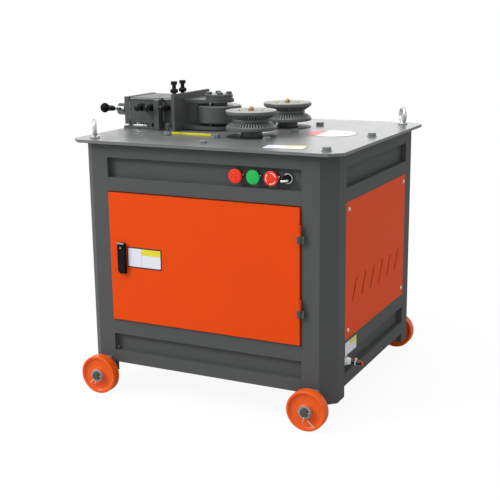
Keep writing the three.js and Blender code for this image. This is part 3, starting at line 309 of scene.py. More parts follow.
def finish(name, _, kind, colour, relief=0.05, roughness=0.4, wear=0.2, specular=0.5, metallic=0, others=None):
    """One effect group that feeds a Principled shader. A value goes to the group if the group has such an input."""
    material, tree, shader = new_material(name)
    group = put(tree, "ShaderNodeGroup", node_tree=effects[kind])
    values = {"Colour": linear(*colour), "Metallic": metallic, "Specular IOR Level": specular,
              "Roughness": roughness, "Wear": wear, **(others or {})}
    for socket, value in values.items():
        (group if socket in group.inputs else shader).inputs[socket].default_value = value
    bump = put(tree, "ShaderNodeBump", {"Height": group.outputs["Height"], "Strength": relief,
                                        "Distance": RELIEF_DEPTH})
    for socket, value in (("Base Color", group.outputs["Colour"]), ("Roughness", group.outputs["Roughness"]),
                          ("Normal", bump.outputs["Normal"])):
        tree.links.new(value, shader.inputs[socket])
    return material


finishes = {name: finish(name, *row) for name, row in FINISHES.items()}


# Mesh building

SOFT_ANGLE = math.radians(34)  # faces that meet at less than this are shaded smoothly
SHARP_ANGLE = math.radians(32)  # edges sharper than this are broken
MERGE = 0.00001  # points closer than this become one


def make_soft_shading():
    """A modifier that shades faces smoothly where they meet at less than the angle."""
    group = bpy.data.node_groups.new("soft_shading", "GeometryNodeTree")
    for socket, way, kind in (("Geometry", "INPUT", "Geometry"), ("Angle", "INPUT", "Float"),
                              ("Geometry", "OUTPUT", "Geometry")):
        group.interface.new_socket(socket, in_out=way, socket_type="NodeSocket" + kind)
    given = group.nodes.new("NodeGroupInput").outputs
    result = group.nodes.new("NodeGroupOutput").inputs
    corner = put(group, "GeometryNodeInputMeshEdgeAngle").outputs["Unsigned Angle"]
    gentle = put(group, "FunctionNodeCompare", {0: corner, 1: given["Angle"]}, data_type="FLOAT",
                 operation="LESS_EQUAL").outputs[0]
    faces = put(group, "GeometryNodeSetShadeSmooth", {"Geometry": given["Geometry"]}, domain="FACE")
    edges = put(group, "GeometryNodeSetShadeSmooth",
                {"Geometry": faces.outputs[0], "Shade Smooth": gentle}, domain="EDGE")
    group.links.new(edges.outputs[0], result["Geometry"])
    return group


soft_shading = make_soft_shading()


def soften(obj, edge=0.0, steps=2, angle=SOFT_ANGLE):
    """Breaks the sharp edges by a small radius, then shades the round stretches smoothly."""
    if edge:
        bevel = obj.modifiers.new("edge", "BEVEL")
        bevel.width = edge
        bevel.segments = steps
        bevel.limit_method = "ANGLE"
        bevel.angle_limit = SHARP_ANGLE
    shading = obj.modifiers.new("shading", "NODES")
    shading.node_group = soft_shading
    shading["Socket_1"] = angle


def settle(obj, look, body="frame", edge=0.0, steps=2, angle=SOFT_ANGLE):
    """Gives a piece its finish, and hangs it on the CAD body that carries it."""
    obj.data.materials.append(finishes[look])
    if obj.type == "MESH":
        soften(obj, edge, steps, angle)
    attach(obj, body)
    return obj


def new_object(name, data):
    obj = bpy.data.objects.new(name, data)
    bpy.context.collection.objects.link(obj)
    return obj


def mesh_piece(name, vertices, faces):
    mesh = bpy.data.meshes.new(name)
    mesh.from_pydata([tuple(v) for v in vertices], [], faces)
    shaped = bmesh.new()
    shaped.from_mesh(mesh)
    bmesh.ops.remove_doubles(shaped, verts=shaped.verts, dist=MERGE)
    bmesh.ops.recalc_face_normals(shaped, faces=shaped.faces)
    shaped.to_mesh(mesh)
    shaped.free()
    return new_object(name, mesh)


AXES = {
    "up": Matrix.Identity(4),
    "right": Matrix.Rotation(math.pi / 2, 4, "Y"),
    "back": Matrix.Rotation(-math.pi / 2, 4, "X"),
    "front": Matrix.Rotation(math.pi / 2, 4, "X"),
    "left": Matrix.Rotation(-math.pi / 2, 4, "Y"),
}


def towards(direction):
    """The turn that points a piece's own height along the direction."""
    return Vector((0, 0, 1)).rotation_difference(direction).to_matrix().to_4x4()


def yaw(degrees):
    return Matrix.Rotation(math.radians(degrees), 4, "Z")


def spun(name, profile, centre, axis="up", steps=FINE_STEPS, ripple=None):
    """A turned piece from points of radius and height. Ripple gives the radius at a row of points and a step."""
    points = profile[:-1] if profile[0] == profile[-1] else profile
    vertices = []
    for row, (radius, height) in enumerate(points):
        for step in range(steps):
            turn = 2 * math.pi * step / steps
            reach = ripple(row, step, radius) if ripple else radius
            vertices.append((reach * math.cos(turn), reach * math.sin(turn), height))
    faces = []
    for row in range(len(profile) - 1):
        here, there = row * steps, (row + 1) % len(points) * steps
        faces += [(here + i, here + (i + 1) % steps, there + (i + 1) % steps, there + i) for i in range(steps)]
    obj = mesh_piece(name, vertices, faces)
    obj.matrix_world = Matrix.Translation(centre) @ (axis if isinstance(axis, Matrix) else AXES[axis])
    return obj


def slab(name, lowest, highest):
    """A plain block between two corners. Its edges are broken when it is settled."""
    (x0, y0, z0), (x1, y1, z1) = lowest, highest
    vertices = [(x, y, z) for x in (x0, x1) for y in (y0, y1) for z in (z0, z1)]
    faces = [(0, 1, 3, 2), (4, 6, 7, 5), (0, 4, 5, 1), (2, 3, 7, 6), (0, 2, 6, 4), (1, 5, 7, 3)]
    return mesh_piece(name, vertices, faces)


def outline_plate(name, outline, thickness, matrix):
    """A flat plate with the given outline (u, v), standing on its own plane by the thickness."""
    count = len(outline)
    vertices = [(u, v, 0) for u, v in outline] + [(u, v, thickness) for u, v in outline]
    sides = [(i, (i + 1) % count, count + (i + 1) % count, count + i) for i in range(count)]
    obj = mesh_piece(name, vertices, [tuple(range(count)), tuple(range(count, 2 * count))] + sides)
    obj.matrix_world = matrix
    return obj


def layers(name, matrix, body, *sheets):
    """Thin plates over one plane. Each has a name, an outline, its height, its thickness and its finish."""
    for part, outline, rise, thickness, look in sheets:
        place = matrix @ Matrix.Translation((0, 0, rise))
        settle(outline_plate(f"{name}_{part}", outline, thickness, place), look, body)


def polar(turn, reach):
    """A flat point by its turn in degrees and its distance from the middle."""
    return (reach * math.cos(math.radians(turn)), reach * math.sin(math.radians(turn)))


def arc(centre, radius, start, end, steps):
    """Points on a round stretch, from the start angle to the end angle in degrees."""
    spokes = [polar(start + (end - start) * i / steps, radius) for i in range(steps + 1)]
    return [(centre[0] + x, centre[1] + y) for x, y in spokes]


def rounded(half_width, half_height, corner):
    """The outline of a plate with round corners."""
    x, y = half_width - corner, half_height - corner
    corners = enumerate(((x, y), (-x, y), (-x, -y), (x, -y)))
    return [point for i, centre in corners for point in arc(centre, corner, 90 * i, 90 * i + 90, 5)]


def strand(name, points, radius, sides=4):
    """A round wire along smooth points."""
    curve = bpy.data.curves.new(name, "CURVE")
    curve.dimensions = "3D"
    curve.bevel_depth = radius
    curve.bevel_resolution = sides
    curve.use_fill_caps = True
    line = curve.splines.new("POLY")
    line.points.add(len(points) - 1)
    for point, place in zip(line.points, points):
        point.co = (*place, 1)
    line.use_smooth = True
    return new_object(name, curve)


def smooth_route(points, steps=8):
    """Points on a smooth line through the given ones."""
    whole = [points[0] * 2 - points[1], *points, points[-1] * 2 - points[-2]]
    route = []
    for a, b, c, d in zip(whole, whole[1:], whole[2:], whole[3:]):
        for i in range(steps):
            t = i / steps
            route.append(0.5 * ((2 * b) + (c - a) * t + (2 * a - 5 * b + 4 * c - d) * t ** 2
                                + (3 * b - 3 * c + d - a) * t ** 3))
    return [*route, points[-1]]


# CAD pieces that keep their own shape: their finish, how wide their edges are broken, and their names
KEPT = [
    ("frame_paint", 0.0012, "leg_front_left leg_front_right leg_rear_left leg_rear_right"),
    ("frame_paint", 0.0022, "rail_front_upper rail_front_lower rail_rear_upper rail_rear_lower"),
    ("frame_paint", 0.0022, "rail_left_upper rail_left_lower rail_right_upper rail_right_lower"),
    ("table_paint", 0.0009, "table_top"),
    ("orange_paint", 0.0004, "cover_right cover_left cover_rear"),
    ("orange_paint", 0.0006, "front_door"),
    ("frame_paint", 0.0006, "hinge_upper hinge_lower"),
    ("housing_paint", 0.0009, "slide_housing slide_cover"),
    ("black_oxide", 0.0006, "side_gib top_gib"),
    ("housing_paint", 0.001, "press_slide"),
    ("drum_paint", 0.0006, "press_pin"),
    ("dark_steel", 0.0005, "crossbar"),
    ("scale_paint", 0.0004, "scale_strip"),
    ("roll_paint", 0.0004, "spindle_front spindle_rear"),
    ("steel", 0.0004, "pinion_shaft motor_pulley"),
    ("bolt_paint", 0.0006, "gearbox"),
    ("frame_paint", 0.0008, "gearbox_lid"),
    ("rubber", 0.0006, "drive_belt"),
    ("motor_paint", 0.001, "motor"),
    ("chrome", 0.0004, "switch_station"),
    ("dull_zinc", 0.0004, "axle_front_left axle_front_right axle_rear_left axle_rear_right"),
]


def dress_cad():
    for look, edge, nodes in KEPT:
        for node in nodes.split():
            materials = cad[node].data.materials
            materials.clear()
            materials.append(finishes[look])
            soften(cad[node], edge)


# Wheels

def wheel(node, body):
    """A turned wheel with a rolled rim and a shallow dish on both sides."""
    radius, half = half_size(node).z, half_size(node).y
    bore, hub, web, rim, lip = 0.0104, 0.0175, 0.008, 0.0075, 0.0022
    inner = radius - rim
    side = [(bore, half), (hub, half), (hub + 0.002, web + 0.001), (hub + 0.004, web), (inner - 0.006, web),
            (inner - 0.002, web + 0.0015), (inner, web + 0.004),
            *arc((inner + lip, half - lip), lip, 180, 90, 5), *arc((radius - lip, half - lip), lip, 90, 0, 5)]
    other = [(reach, -height) for reach, height in reversed(side)]
    obj = spun(node + "_turned", [*side, *other, side[0]], middle(node), "back")
    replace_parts(settle(obj, "wheel_paint", body), node)


AXLE_STUB = 0.01
PIN_RADIUS = 0.0013
PIN_PLACE, PIN_APART = 0.0022, 0.0012  # where the first leg lies along the stub, and how far off the second is
PIN_BEND, PIN_BOW = 0.35, (0.0008, 0.0006)  # share of a leg where it bends, and how far out and up

# How the pins' legs are bent at each axle: start and end of each leg, sideways and upwards from the axle
PINS = {
    "front_left": (mm((-2.5, -7.5), (-24.3, -24.4)), mm((2.4, -7.8), (-6.4, -24.9))),
    "front_right": (mm((8.5, -21.5), (27, -37)), mm((0.5, -10.5), (-5.5, -30))),
    "rear_left": (mm((4, -11), (14, -31)), mm((-4, -11), (-7, -29))),
    "rear_right": (mm((5, -10), (24, -24)), mm((-3, -11), (-4, -30))),
}


def axle_end(corner, node, pin):
    """The dark end of an axle with its washer, and the splayed legs of the pin through it."""
    side = -1 if corner.startswith("front") else 1
    axis = "front" if side < 0 else "back"
    end = low(node).y if side < 0 else high(node).y
    centre = Vector((middle("wheel_" + corner).x, end - side * AXLE_STUB, middle("wheel_" + corner).z))
    cap = mm((0, 0.4), (10.4, 0.4), (10.4, 9.2), (9.4, 10.4), (0, 10.6))
    settle(spun(node + "_end", cap, centre, axis, SMALL_STEPS), "axle_steel")
    washer = mm((11.2, -1), (18.2, -1), (18.6, 2.2), (18, 2.8), (11.8, 2.8), (11.2, -1))
    settle(spun(node + "_washer", washer, centre, axis, SMALL_STEPS), "dull_zinc")
    for i, ends in enumerate(pin):
        start, stop = (centre + Vector((x, side * (PIN_PLACE + PIN_APART * i), z)) for x, z in ends)
        bend = start.lerp(stop, PIN_BEND) + Vector((0, side * PIN_BOW[0], PIN_BOW[1]))
        settle(strand(f"split_pin_{node}_{i}", smooth_route([start, bend, stop]), PIN_RADIUS), "zinc")


# Drive rolls

SLOT_COUNT = 50
SLOT_SHAPE = (0, 0, 0, 0, 0, 0.6, 1, 1, 0.6, 0)  # how deep a slot is at each step round the roll
SLOT_DEPTH = 0.0062
CRESCENT_TURNS = (8, 218)
CENTRE_MARKS = ((0.058, 205), (0.046, 25))  # distance from the middle, and turn in degrees
MARK_PLACE, MARK_DEPTH = -0.0006, 0.0005
# The roll's end takes a lighter finish: the turned face, with a painted sheen in its colour
END_BAND = 0.0012  # how far down a roll its end's finish reaches


def drive_roll(node, body):
    """A roll with a deep groove: a crowned waist between two flanks that are slotted to grip the bar."""
    centre = middle(node)
    top = high(node).z - centre.z
    radius = half_size(node).x
    rim, edge = 0.0085, 0.002
    flank_foot, flank_top = 0.0066, top - rim - 0.0036
    flank = [(radius - inset, top - rim - drop) for inset, drop in mm((1.8, 2.2), (3.6, 3.6), (4.4, 4.2))]
    waist = [(radius - inset, height) for inset, height in mm((15.5, 6.6), (16.8, 5.6), (20.5, 4.8), (20.8, 4.2),
                                                              (19.6, 2.4), (19.2, 0))]
    slotted = (flank[-1], waist[0])
    half = [*arc((radius - edge, top - edge), edge, 90, 0, 5), (radius, top - rim), *flank, *waist]
    lower = [(reach, -height) for reach, height in reversed(half[:-1])]
    end = [(reach, top - drop) for reach, drop in mm((17.8, 0.8), (18.6, 0), (28.8, 0), (29.4, 0.8), (31.8, 0.8),
                                                     (32.4, 0.3))]
    bore = end[0][0]
    profile = [*end, *half, *lower, (bore, -top), end[0]]
    rows = {row for row, (reach, height) in enumerate(profile) if (reach, abs(height)) in slotted}
    steps = SLOT_COUNT * len(SLOT_SHAPE)

    def slots(row, step, reach):
        return reach - SLOT_DEPTH * SLOT_SHAPE[step % len(SLOT_SHAPE)] if row in rows else reach

    obj = settle(spun(node + "_slotted", profile, centre, "up", steps, slots), "roll_paint", body,
                 angle=math.radians(30))
    # Faces in the slots take a dark painted shade, the teeth between them a lighter painted highlight, and the
    # roll's end a lighter finish that is partly a painted sheen
    for look in ("roll_end_sheen", "slot_shade", "tooth_painted_highlight"):
        obj.data.materials.append(finishes[look])
    end_sheen_look, slot_look, highlight_look = 1, 2, 3
    for face in obj.data.polygons:
        x, y, z = face.center
        step = math.floor(math.atan2(y, x) / (2 * math.pi) * steps) % len(SLOT_SHAPE)
        in_slot = SLOT_SHAPE[step] or SLOT_SHAPE[(step + 1) % len(SLOT_SHAPE)]
        if z > top - END_BAND:
            face.material_index = end_sheen_look
        elif flank_foot < abs(z) < flank_top:
            face.material_index = slot_look if in_slot else highlight_look
    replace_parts(obj, node)
    # The spanner slots and centre marks are thin dark sheets: painted shade where the ends have hollows
    crescent = arc((0, 0), 0.0362, -18, 18, 10) + arc((0.0012, 0), 0.0302, 15, -15, 10)
    marks = [(f"spanner_slot_{i}", crescent, turn) for i, turn in enumerate(CRESCENT_TURNS)]
    marks += [(f"centre_mark_{i}", arc((reach, 0), 0.0018, 0, 340, 17), turn)
              for i, (reach, turn) in enumerate(CENTRE_MARKS)]
    for mark, outline, turn in marks:
        place = Matrix.Translation(on_top(node)) @ yaw(turn)
        layers(node, place, body, (mark, outline, MARK_PLACE, MARK_DEPTH, "hole_shade"))
    # A flat seat plate round each roll's foot; its dark finish is partly painted shade under the roll
    seat = mm((33.5, 0), (33.5, 1.8), (69.4, 1.8), (70, 1.2), (70, 0), (33.5, 0))
    settle(spun(node + "_seat", seat, (centre.x, centre.y, TABLE), "up", BROAD_STEPS), "seat_paint_and_shade")


def grease_nipple(node, body):
    """A brass nipple in the middle of the spindle's end."""
    nut = mm((0, 0), (8.8, 0), (8.8, 4.4), (7.6, 5.4), (0, 5.4))
    settle(spun(node + "_nipple_nut", nut, on_top(node), "up", HEXAGON), "brass", body, 0.0004)
    tip = mm((0, 5), (5.8, 5), (5.6, 6.6), (4.8, 8.4), (3.2, 9.8), (1.4, 10.4), (0, 10.5))
    settle(spun(node + "_nipple", tip, on_top(node), "up", 24), "brass", body)


# Press roll and fork

PRESS_FLATS = 44
PLANED = 0.00035  # how deep the flats are planed


def press_roll(node, body):
    """The smooth drum, planed in narrow upright flats."""
    centre = middle(node)
    bottom, top = low(node).z - centre.z, high(node).z - centre.z
    radius = half_size(node).x
    boss, bore, step, edge = 0.024, 0.0153, 0.0083, 0.0022
    low_face, high_face = bottom + step, top - step
    profile = [(bore, top), (boss, top), (boss, high_face), (radius - edge, high_face), (radius, high_face - edge),
               (radius, low_face + edge), (radius - edge, low_face), (boss, low_face), (boss, bottom),
               (bore, bottom), (bore, top)]
    obj = spun(node + "_drum", profile, centre, "up", PRESS_FLATS * 2,
               lambda row, i, reach: reach - (PLANED if i % 2 and reach > boss else 0))
    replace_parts(settle(obj, "drum_paint", body, angle=math.radians(3)), node)


CAP_FACE = -0.0012  # the cap's face, from the top of the CAD piece
CAP_BOLTS = 4
CAP_BOLT_TURN, CAP_BOLT_REACH = 33, 0.029


def press_cap(node, body):
    """The thick cap over the press pin, with its bolt heads."""
    cap = mm((0, -7.6), (40.3, -7.6), (40.3, -2.8), (38.6, -1.2), (0, -1.2))
    settle(spun(node + "_cap", cap, on_top(node), "up", BROAD_STEPS), "drum_paint", body)
    head = mm((0, 0), (9.2, 0), (9.2, 5.5), (8.3, 6.2), (0, 6.2))
    for i in range(CAP_BOLTS):
        place = on_top(node) + Vector((*polar(CAP_BOLT_TURN + 360 / CAP_BOLTS * i, CAP_BOLT_REACH), CAP_FACE))
        settle(spun(f"{node}_bolt_{i}", head, place, "up", HEXAGON), "drum_paint", body, 0.0004)


# Lifting eyes

EYE_TURN = -55


def lifting_eye(node):
    """A forged ring on a turned collar. The ring is thicker towards its foot."""
    ring_radius, wire, swell = 0.0205, 0.0055, 0.1
    around, across = 64, 20
    place = middle(node)
    foot = Vector((place.x, place.y, TABLE))
    place.z = high(node).z - ring_radius - wire
    vertices, faces = [], []
    for i in range(around):
        a = 2 * math.pi * i / around
        thick = wire * (1 + swell * max(0, -math.sin(a)))
        for j in range(across):
            b = 2 * math.pi * j / across
            reach = ring_radius + thick * math.cos(b)
            vertices.append((reach * math.cos(a), -thick * math.sin(b), reach * math.sin(a)))
            k, m = (i + 1) % around, (j + 1) % across
            faces.append((i * across + j, k * across + j, k * across + m, i * across + m))
    ring = mesh_piece(node + "_ring", vertices, faces)
    ring.matrix_world = Matrix.Translation(place) @ yaw(EYE_TURN)
    settle(ring, "zinc")
    collar = mm((0, 0.3), (13.5, 0.3), (14.2, 1), (14.2, 4), (12.8, 5.6), (9.8, 7.2), (7.8, 9.8), (7.2, 13), (0, 13))
    settle(spun(node + "_collar", collar, foot, "up", SMALL_STEPS), "zinc")
    tip = low(node).z - TABLE
    shank = [(0, tip), (0.0055, tip), (0.006, -0.022), (0.006, 0.001), (0, 0.001)]
    settle(spun(node + "_shank", shank, foot, "up", SLIM_STEPS), "zinc")
    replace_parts(ring, node)


# Switches

PANEL = low("switch_station").y + 0.006
SWITCH_ROW = middle("stop_button").z
HEAD_DEPTH = 0.007
DOME_RINGS = 8
# The dots sit where the heads show small highlights, and are painted lighter for them
DOT_SPOTS = ((106, 0.0088), (12, 0.0078), (258, 0.0112))  # turn in degrees, and distance from the middle
ARROWS = 3
ARROW_START, ARROW_SWEEP, ARROW_HEAD = 94, -80, 12  # in degrees


def mushroom(node, body, look, marks):
    """A thin crowned push head on its stem, with printed turning arrows, or with small raised dots whose lighter
    colour is a painted highlight.
    """
    front = low(node).y
    centre = middle(node)
    centre.y = front
    radius = half_size(node).x
    back = high(node).y - front
    dome, edge, stem = 0.001, 0.0018, 0.0078
    profile = [(0, 0), *((radius * 0.85 * i / DOME_RINGS, dome * (i / DOME_RINGS) ** 2)
                         for i in range(1, DOME_RINGS + 1)),
               *arc((radius - edge, edge + dome), edge, -70, 0, 7),
               (radius, 0.0046), (radius - 0.0008, 0.0052), (0.0104, HEAD_DEPTH), (0.0086, HEAD_DEPTH + 0.001),
               (stem, HEAD_DEPTH + 0.003), (stem, back), (0, back)]
    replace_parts(settle(spun(node + "_head", profile, centre, "back", 72), look, body), node)
    if marks == "dots":
        for i, (turn, reach) in enumerate(DOT_SPOTS):
            x, z = polar(turn, reach)
            dot = spun(f"{node}_dot_{i}", mm((0, -0.6), (1.1, -0.4), (1.6, 0.7)), centre + Vector((x, 0, z)), "back",
                       20)
            settle(dot, look.replace("plastic", "dot"), body)
        return
    ring, half, barb = radius * 0.71, 0.0011, 0.0026
    for i in range(ARROWS):
        start = ARROW_START + 360 / ARROWS * i
        tip = start + ARROW_SWEEP
        neck = tip + ARROW_HEAD
        head = [polar(neck, ring + barb), polar(tip, ring), polar(neck, ring - barb)]
        outline = arc((0, 0), ring + half, start, neck, 14) + head + arc((0, 0), ring - half, neck, start, 14)
        layers(node, Matrix.Translation(centre) @ AXES["front"], body, (f"arrow_{i}", outline, -0.0008, 0.0006,
                                                                        "white_ink"))


KNOB_RADIUS = 0.0105
LEVER_TILT = math.radians(-8)


def selector_centre():
    """Where the selector's axis meets the recess panel."""
    return Vector((high("selector_switch").x - KNOB_RADIUS, PANEL, SWITCH_ROW))


def selector(node, body):
    """A black knob with a bright lever across it."""
    back = PANEL - high(node).y
    shape = [*mm((0, 14.2), (9.4, 14.2), (11.2, 12.4), (11.6, 6.4), (7.8, 6.4)), (0.0078, back), (0, back)]
    knob = settle(spun(node + "_knob", shape, selector_centre(), "front", HEAD_STEPS), "black_plastic", body)
    lever = slab(node + "_lever", (-0.0156, low(node).y - PANEL, -0.0074), (0.0066, -0.0138, -0.0018))
    lever.matrix_world = Matrix.Translation(selector_centre()) @ Matrix.Rotation(LEVER_TILT, 4, "Y")
    settle(lever, "zinc", body, 0.0012, 3)
    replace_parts(knob, node)


def bezel(name, x, scale=1.0):
    """The bright ring nut that clamps a switch head on the panel."""
    shape = mm((15.6, 0.4), (16.4, 1.4), (16.2, 4.6), (14.8, 6.8), (12.4, 7.4), (11.8, 6.2))
    inner = mm((8.4, 0.6), (8.4, 6.2))
    ring = [inner[0], *((reach * scale, height) for reach, height in shape), inner[1], inner[0]]
    settle(spun(name, ring, Vector((x, PANEL, SWITCH_ROW)), "front", HEAD_STEPS), "chrome")


# Latch

DOOR_FACE = high("latch_plate").y + 0.0003
LATCH_AXIS = 0.0165  # below the plate's top
LATCH_CUT = 0.0042  # how much shorter the plate is than its CAD piece, at its top


def latch_lever(node, body):
    """A black lever with a rounded foot and a bright top edge, its key slot, and the cam behind the door.

    The plate behind the lever is made here too, since both share their place and width.
    """
    plate_low, plate_high = low("latch_plate"), high("latch_plate")
    x, z = middle("latch_plate").x, plate_high.z - LATCH_AXIS
    back = plate_low.y - 0.0003
    front = back - 0.0062
    wide = (plate_high.x - plate_low.x) / 2 + 0.0006
    top, foot = 0.0128, plate_low.z - z + wide
    outline = [(-wide, top), *arc((0, foot), wide, 180, 360, 14), (wide, top)]
    blade = outline_plate(node + "_blade", outline, back - front, Matrix.Translation((x, back, z)) @ AXES["front"])
    settle(blade, "black_plastic", body, 0.0012, 3)
    plate = slab("latch_back_plate", plate_low, plate_high - Vector((0, 0, LATCH_CUT)))
    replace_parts(settle(plate, "black_plastic", "door", 0.0008), "latch_plate")
    edge = slab(node + "_bright_edge", (x - wide - 0.0003, front - 0.0004, z + top - 0.003),
                (x + wide - 0.0012, front + 0.004, z + top + 0.0008))
    settle(edge, "dull_zinc", body, 0.0006)
    keyhole = spun(node + "_keyhole", mm((0, 0.5), (2, 0.5), (2.6, 0), (0, 0)), (x - 0.0008, front, z - 0.001),
                   "front", SLIM_STEPS)
    settle(keyhole, "dull_zinc", body)
    cam_back = high(node).y
    shaft = [(0, 0), (0.0058, 0), (0.0058, cam_back - back), (0, cam_back - back)]
    settle(spun(node + "_spindle", shaft, (x, back, z), "back", SLIM_STEPS), "zinc", body)
    cam = slab(node + "_cam", (x - 0.009, cam_back - 0.004, z - 0.009), (x + 0.009, cam_back, z + 0.051))
    settle(cam, "zinc", body, 0.0015)
    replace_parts(blade, node)


# Feed screw and grips

def feed_screw(node, body):
    """The threaded feed screw, with the plain collar that turns in the ram."""
    length = high(node).x - low(node).x
    radius, collar = 0.0119, half_size(node).z
    pitch, depth, relief = 0.005, 0.0016, 0.0022
    steps, per_turn = 36, 8
    start, end = 0.034, length - 0.014
    rows = int((end - start) / pitch * per_turn)
    profile = [(0, 0), (radius - 0.001, 0), (radius, 0.001), (radius, start),
               *((radius, start + (end - start) * row / rows) for row in range(1, rows)),
               (radius, end), (radius, end + relief), (collar, end + relief), (collar, length), (0, length)]

    def thread(row, step, reach):
        height = profile[row][1]
        if not start < height < end:
            return reach
        return reach - depth * abs(2 * ((height / pitch - step / steps) % 1) - 1)

    obj = spun(node + "_thread", profile, (low(node).x, 0, middle(node).z), "right", steps, thread)
    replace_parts(settle(obj, "zinc", body, angle=math.radians(40)), node)


CROSSBAR_TILT = math.radians(7.4)
GRIP_ROOT, GRIP_LENGTH = 0.055, 0.057


def grip(node, body):
    """A flared black grip on the crossbar, with the bar's bright collar at its root."""
    side = -1 if node.endswith("front") else 1
    rotation = towards(Vector((0, side * math.cos(CROSSBAR_TILT), -side * math.sin(CROSSBAR_TILT))))
    shape = mm((4.4, 0), (7.2, 0), (8, 1.2), (8.3, 12), (8.7, 24), (9.7, 32), (12.2, 39), (14.1, 43.5), (14.5, 46.2),
               (14.1, 48.5), (12.4, 51.8), (9.6, 55), (6.2, 56.7)) + [(0, GRIP_LENGTH)]
    collar = mm((4.2, -7), (6.2, -7), (6.8, -6), (6.8, -0.4), (4.2, -0.4))

    def part(name, profile, steps, look, edge):
        raised = [(reach, GRIP_ROOT + height) for reach, height in profile]
        return settle(spun(node + name, raised, middle("crossbar"), rotation, steps), look, body, edge)

    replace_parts(part("_moulded", shape, 56, "black_plastic", 0.0), node)
    part("_collar", collar, SLIM_STEPS, "zinc", 0.0004)


# Supply gland and lead

GLAND_RIBS = 14
RIB_STEPS = 6
LEAD_ROUTE = mm((368, -221, 150), (380, -221, 150), (392, -221, 149.7), (404, -221, 148.9), (416.5, -221, 147.5))
LEAD_RADIUS = 0.0039
WIRE_RADIUS = 0.0018
BARE_RADIUS = 0.0008
TIE_PLACE = 0.43  # share of the way from the gland's nose to the lead's end


def gland(node):
    """A ribbed clamping nut over the gland's body."""
    length = high(node).x - low(node).x
    big = half_size(node).z
    face = length - 0.022
    bore, body = 0.0061, 0.0098
    nut = [(big - inset, face + rise) for inset, rise in mm((0, 0), (0, 6), (1.6, 7.2), (2.2, 9), (3.6, 16.5))]
    profile = [(bore, 0), (body, 0), (body, face), *nut, (big - 0.0058, length - 0.0015), (big - 0.0072, length),
               (bore, length), (bore, 0)]
    ribbed = {6, 7}  # rows of the profile

    def ribs(row, step, reach):
        return reach - (0.0008 if row in ribbed and step % RIB_STEPS in (0, 1) else 0)

    centre = Vector((low(node).x, middle(node).y, middle(node).z))
    obj = spun(node + "_ribbed", profile, centre, "right", GLAND_RIBS * RIB_STEPS, ribs)
    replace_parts(settle(obj, "pale_plastic"), node)


def supply_lead(node):
    """The sheathed lead, its stripped wires folded back along it, and the tie that holds them."""
    route = smooth_route([at(*point) for point in LEAD_ROUTE], 4)
    sheath = strand(node + "_sheath", route, LEAD_RADIUS, 6)
    settle(sheath, "wire_black")
    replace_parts(sheath, node)
    along = (route[-1] - route[-2]).normalized()
    nose = Vector((high("supply_gland").x + 0.001, route[0].y, route[0].z))
    tip = route[-1]
    reach = LEAD_RADIUS + WIRE_RADIUS

    def beside(front, up, off=0.0):
        """From the lead's middle to a wire that lies against it on the side of that direction."""
        return Vector((0, -front, up)).normalized() * (reach + off)

    wires = (("red", "wire_red", beside(0.15, 1, 0.001), 0.0, beside(0, -1)),
             ("green", "wire_green", beside(0.8, 0.55), -0.004, None),
             ("black", "wire_black", beside(0.9, -0.4), -0.001, None),
             ("back", "wire_black", beside(-0.9, 0.3), -0.003, None))
    for name, look, offset, run_out, loop in wires:
        points = [nose + offset * 0.9, nose.lerp(tip, 0.4) + offset, nose.lerp(tip, 0.8) + offset,
                  tip + offset * 0.92 + along * run_out]
        if loop:  # carries the wire round the lead's end
            points += [tip + along * (run_out + 0.003) + offset * 0.35, tip + along * (run_out + 0.002) + loop * 0.5,
                       tip + loop, nose.lerp(tip, 0.72) + loop * 1.02]
        wire = strand(f"{node}_wire_{name}", smooth_route(points, 6), WIRE_RADIUS)
        settle(wire, look)
    for i, direction in enumerate(((0.3, 0.9), (-0.6, 0.4))):
        start = nose + beside(*direction, 0.0006)
        points = [start - along * 0.0052 + Vector((0, 0, 0.0016)), start - along * 0.002, start]
        settle(strand(f"{node}_bare_end_{i}", points, BARE_RADIUS), "copper")
    centre = nose.lerp(tip, TIE_PLACE)
    inner = reach + WIRE_RADIUS
    outer, half = inner + 0.0011, 0.0016
    shape = [(inner, -half), (outer, -half), (outer, half), (inner, half), (inner, -half)]
    band = settle(spun(node + "_tie", shape, centre, towards(along), SCREW_STEPS), "tie", edge=0.0003)
    lock = slab(node + "_tie_lock", (-0.0024, -0.0026, inner), (0.0024, 0.0026, inner + 0.0046))
    lock.matrix_world = Matrix.Translation(centre)
    settle(lock, "tie", edge=0.0006)


# Small fasteners, welds and plates

def pan_screw(name, place, axis):
    """A bright domed screw."""
    shape = mm((0, 0), (5.5, 0), (5.7, 0.8)) + arc((0, -0.0024), 0.0066, 30, 90, 7)
    settle(spun(name, shape, place, axis, SCREW_STEPS), "zinc")


def hexagon_bolt(name, place, reach, height, turn, flange=0.0):
    """A hexagon head on the table by the distance to its corners, with or without a flange."""
    shape = [(0, 0), (reach, 0), (reach, height), (reach * 0.9, height + 0.0008), (0, height + 0.0008)]
    settle(spun(name, shape, place, Matrix.Rotation(turn, 4, "Z"), HEXAGON), "bolt_paint", edge=0.0007)
    if flange:
        disc = [(0, 0), (flange, 0), (flange, 0.0012), (flange - 0.001, 0.0018), (0, 0.0018)]
        settle(spun(name + "_flange", disc, place, "up", SCREW_STEPS), "bolt_paint")


WELD_RING = 0.0011
WELD_RIPPLE = 0.0036


def weld_bead(name, start, end, radius, body="frame", look="weld_and_highlight"):
    """A rippled bead along a welded corner, with tapered ends. Its pale default finish is partly a painted highlight
    along the corner.
    """
    length = (end - start).length
    rings = max(8, int(length / WELD_RING))
    profile = [(0, 0)]
    for i in range(1, rings):
        share = i / rings
        swell = 1 + 0.16 * math.sin(share * length / WELD_RIPPLE * 2 * math.pi) + 0.07 * math.sin(share * 61)
        profile.append((radius * swell * min(1, 12 * share, 12 * (1 - share)), share * length))
    profile.append((0, length))
    settle(spun("weld_" + name, profile, start, towards((end - start).normalized()), 12), look, body)


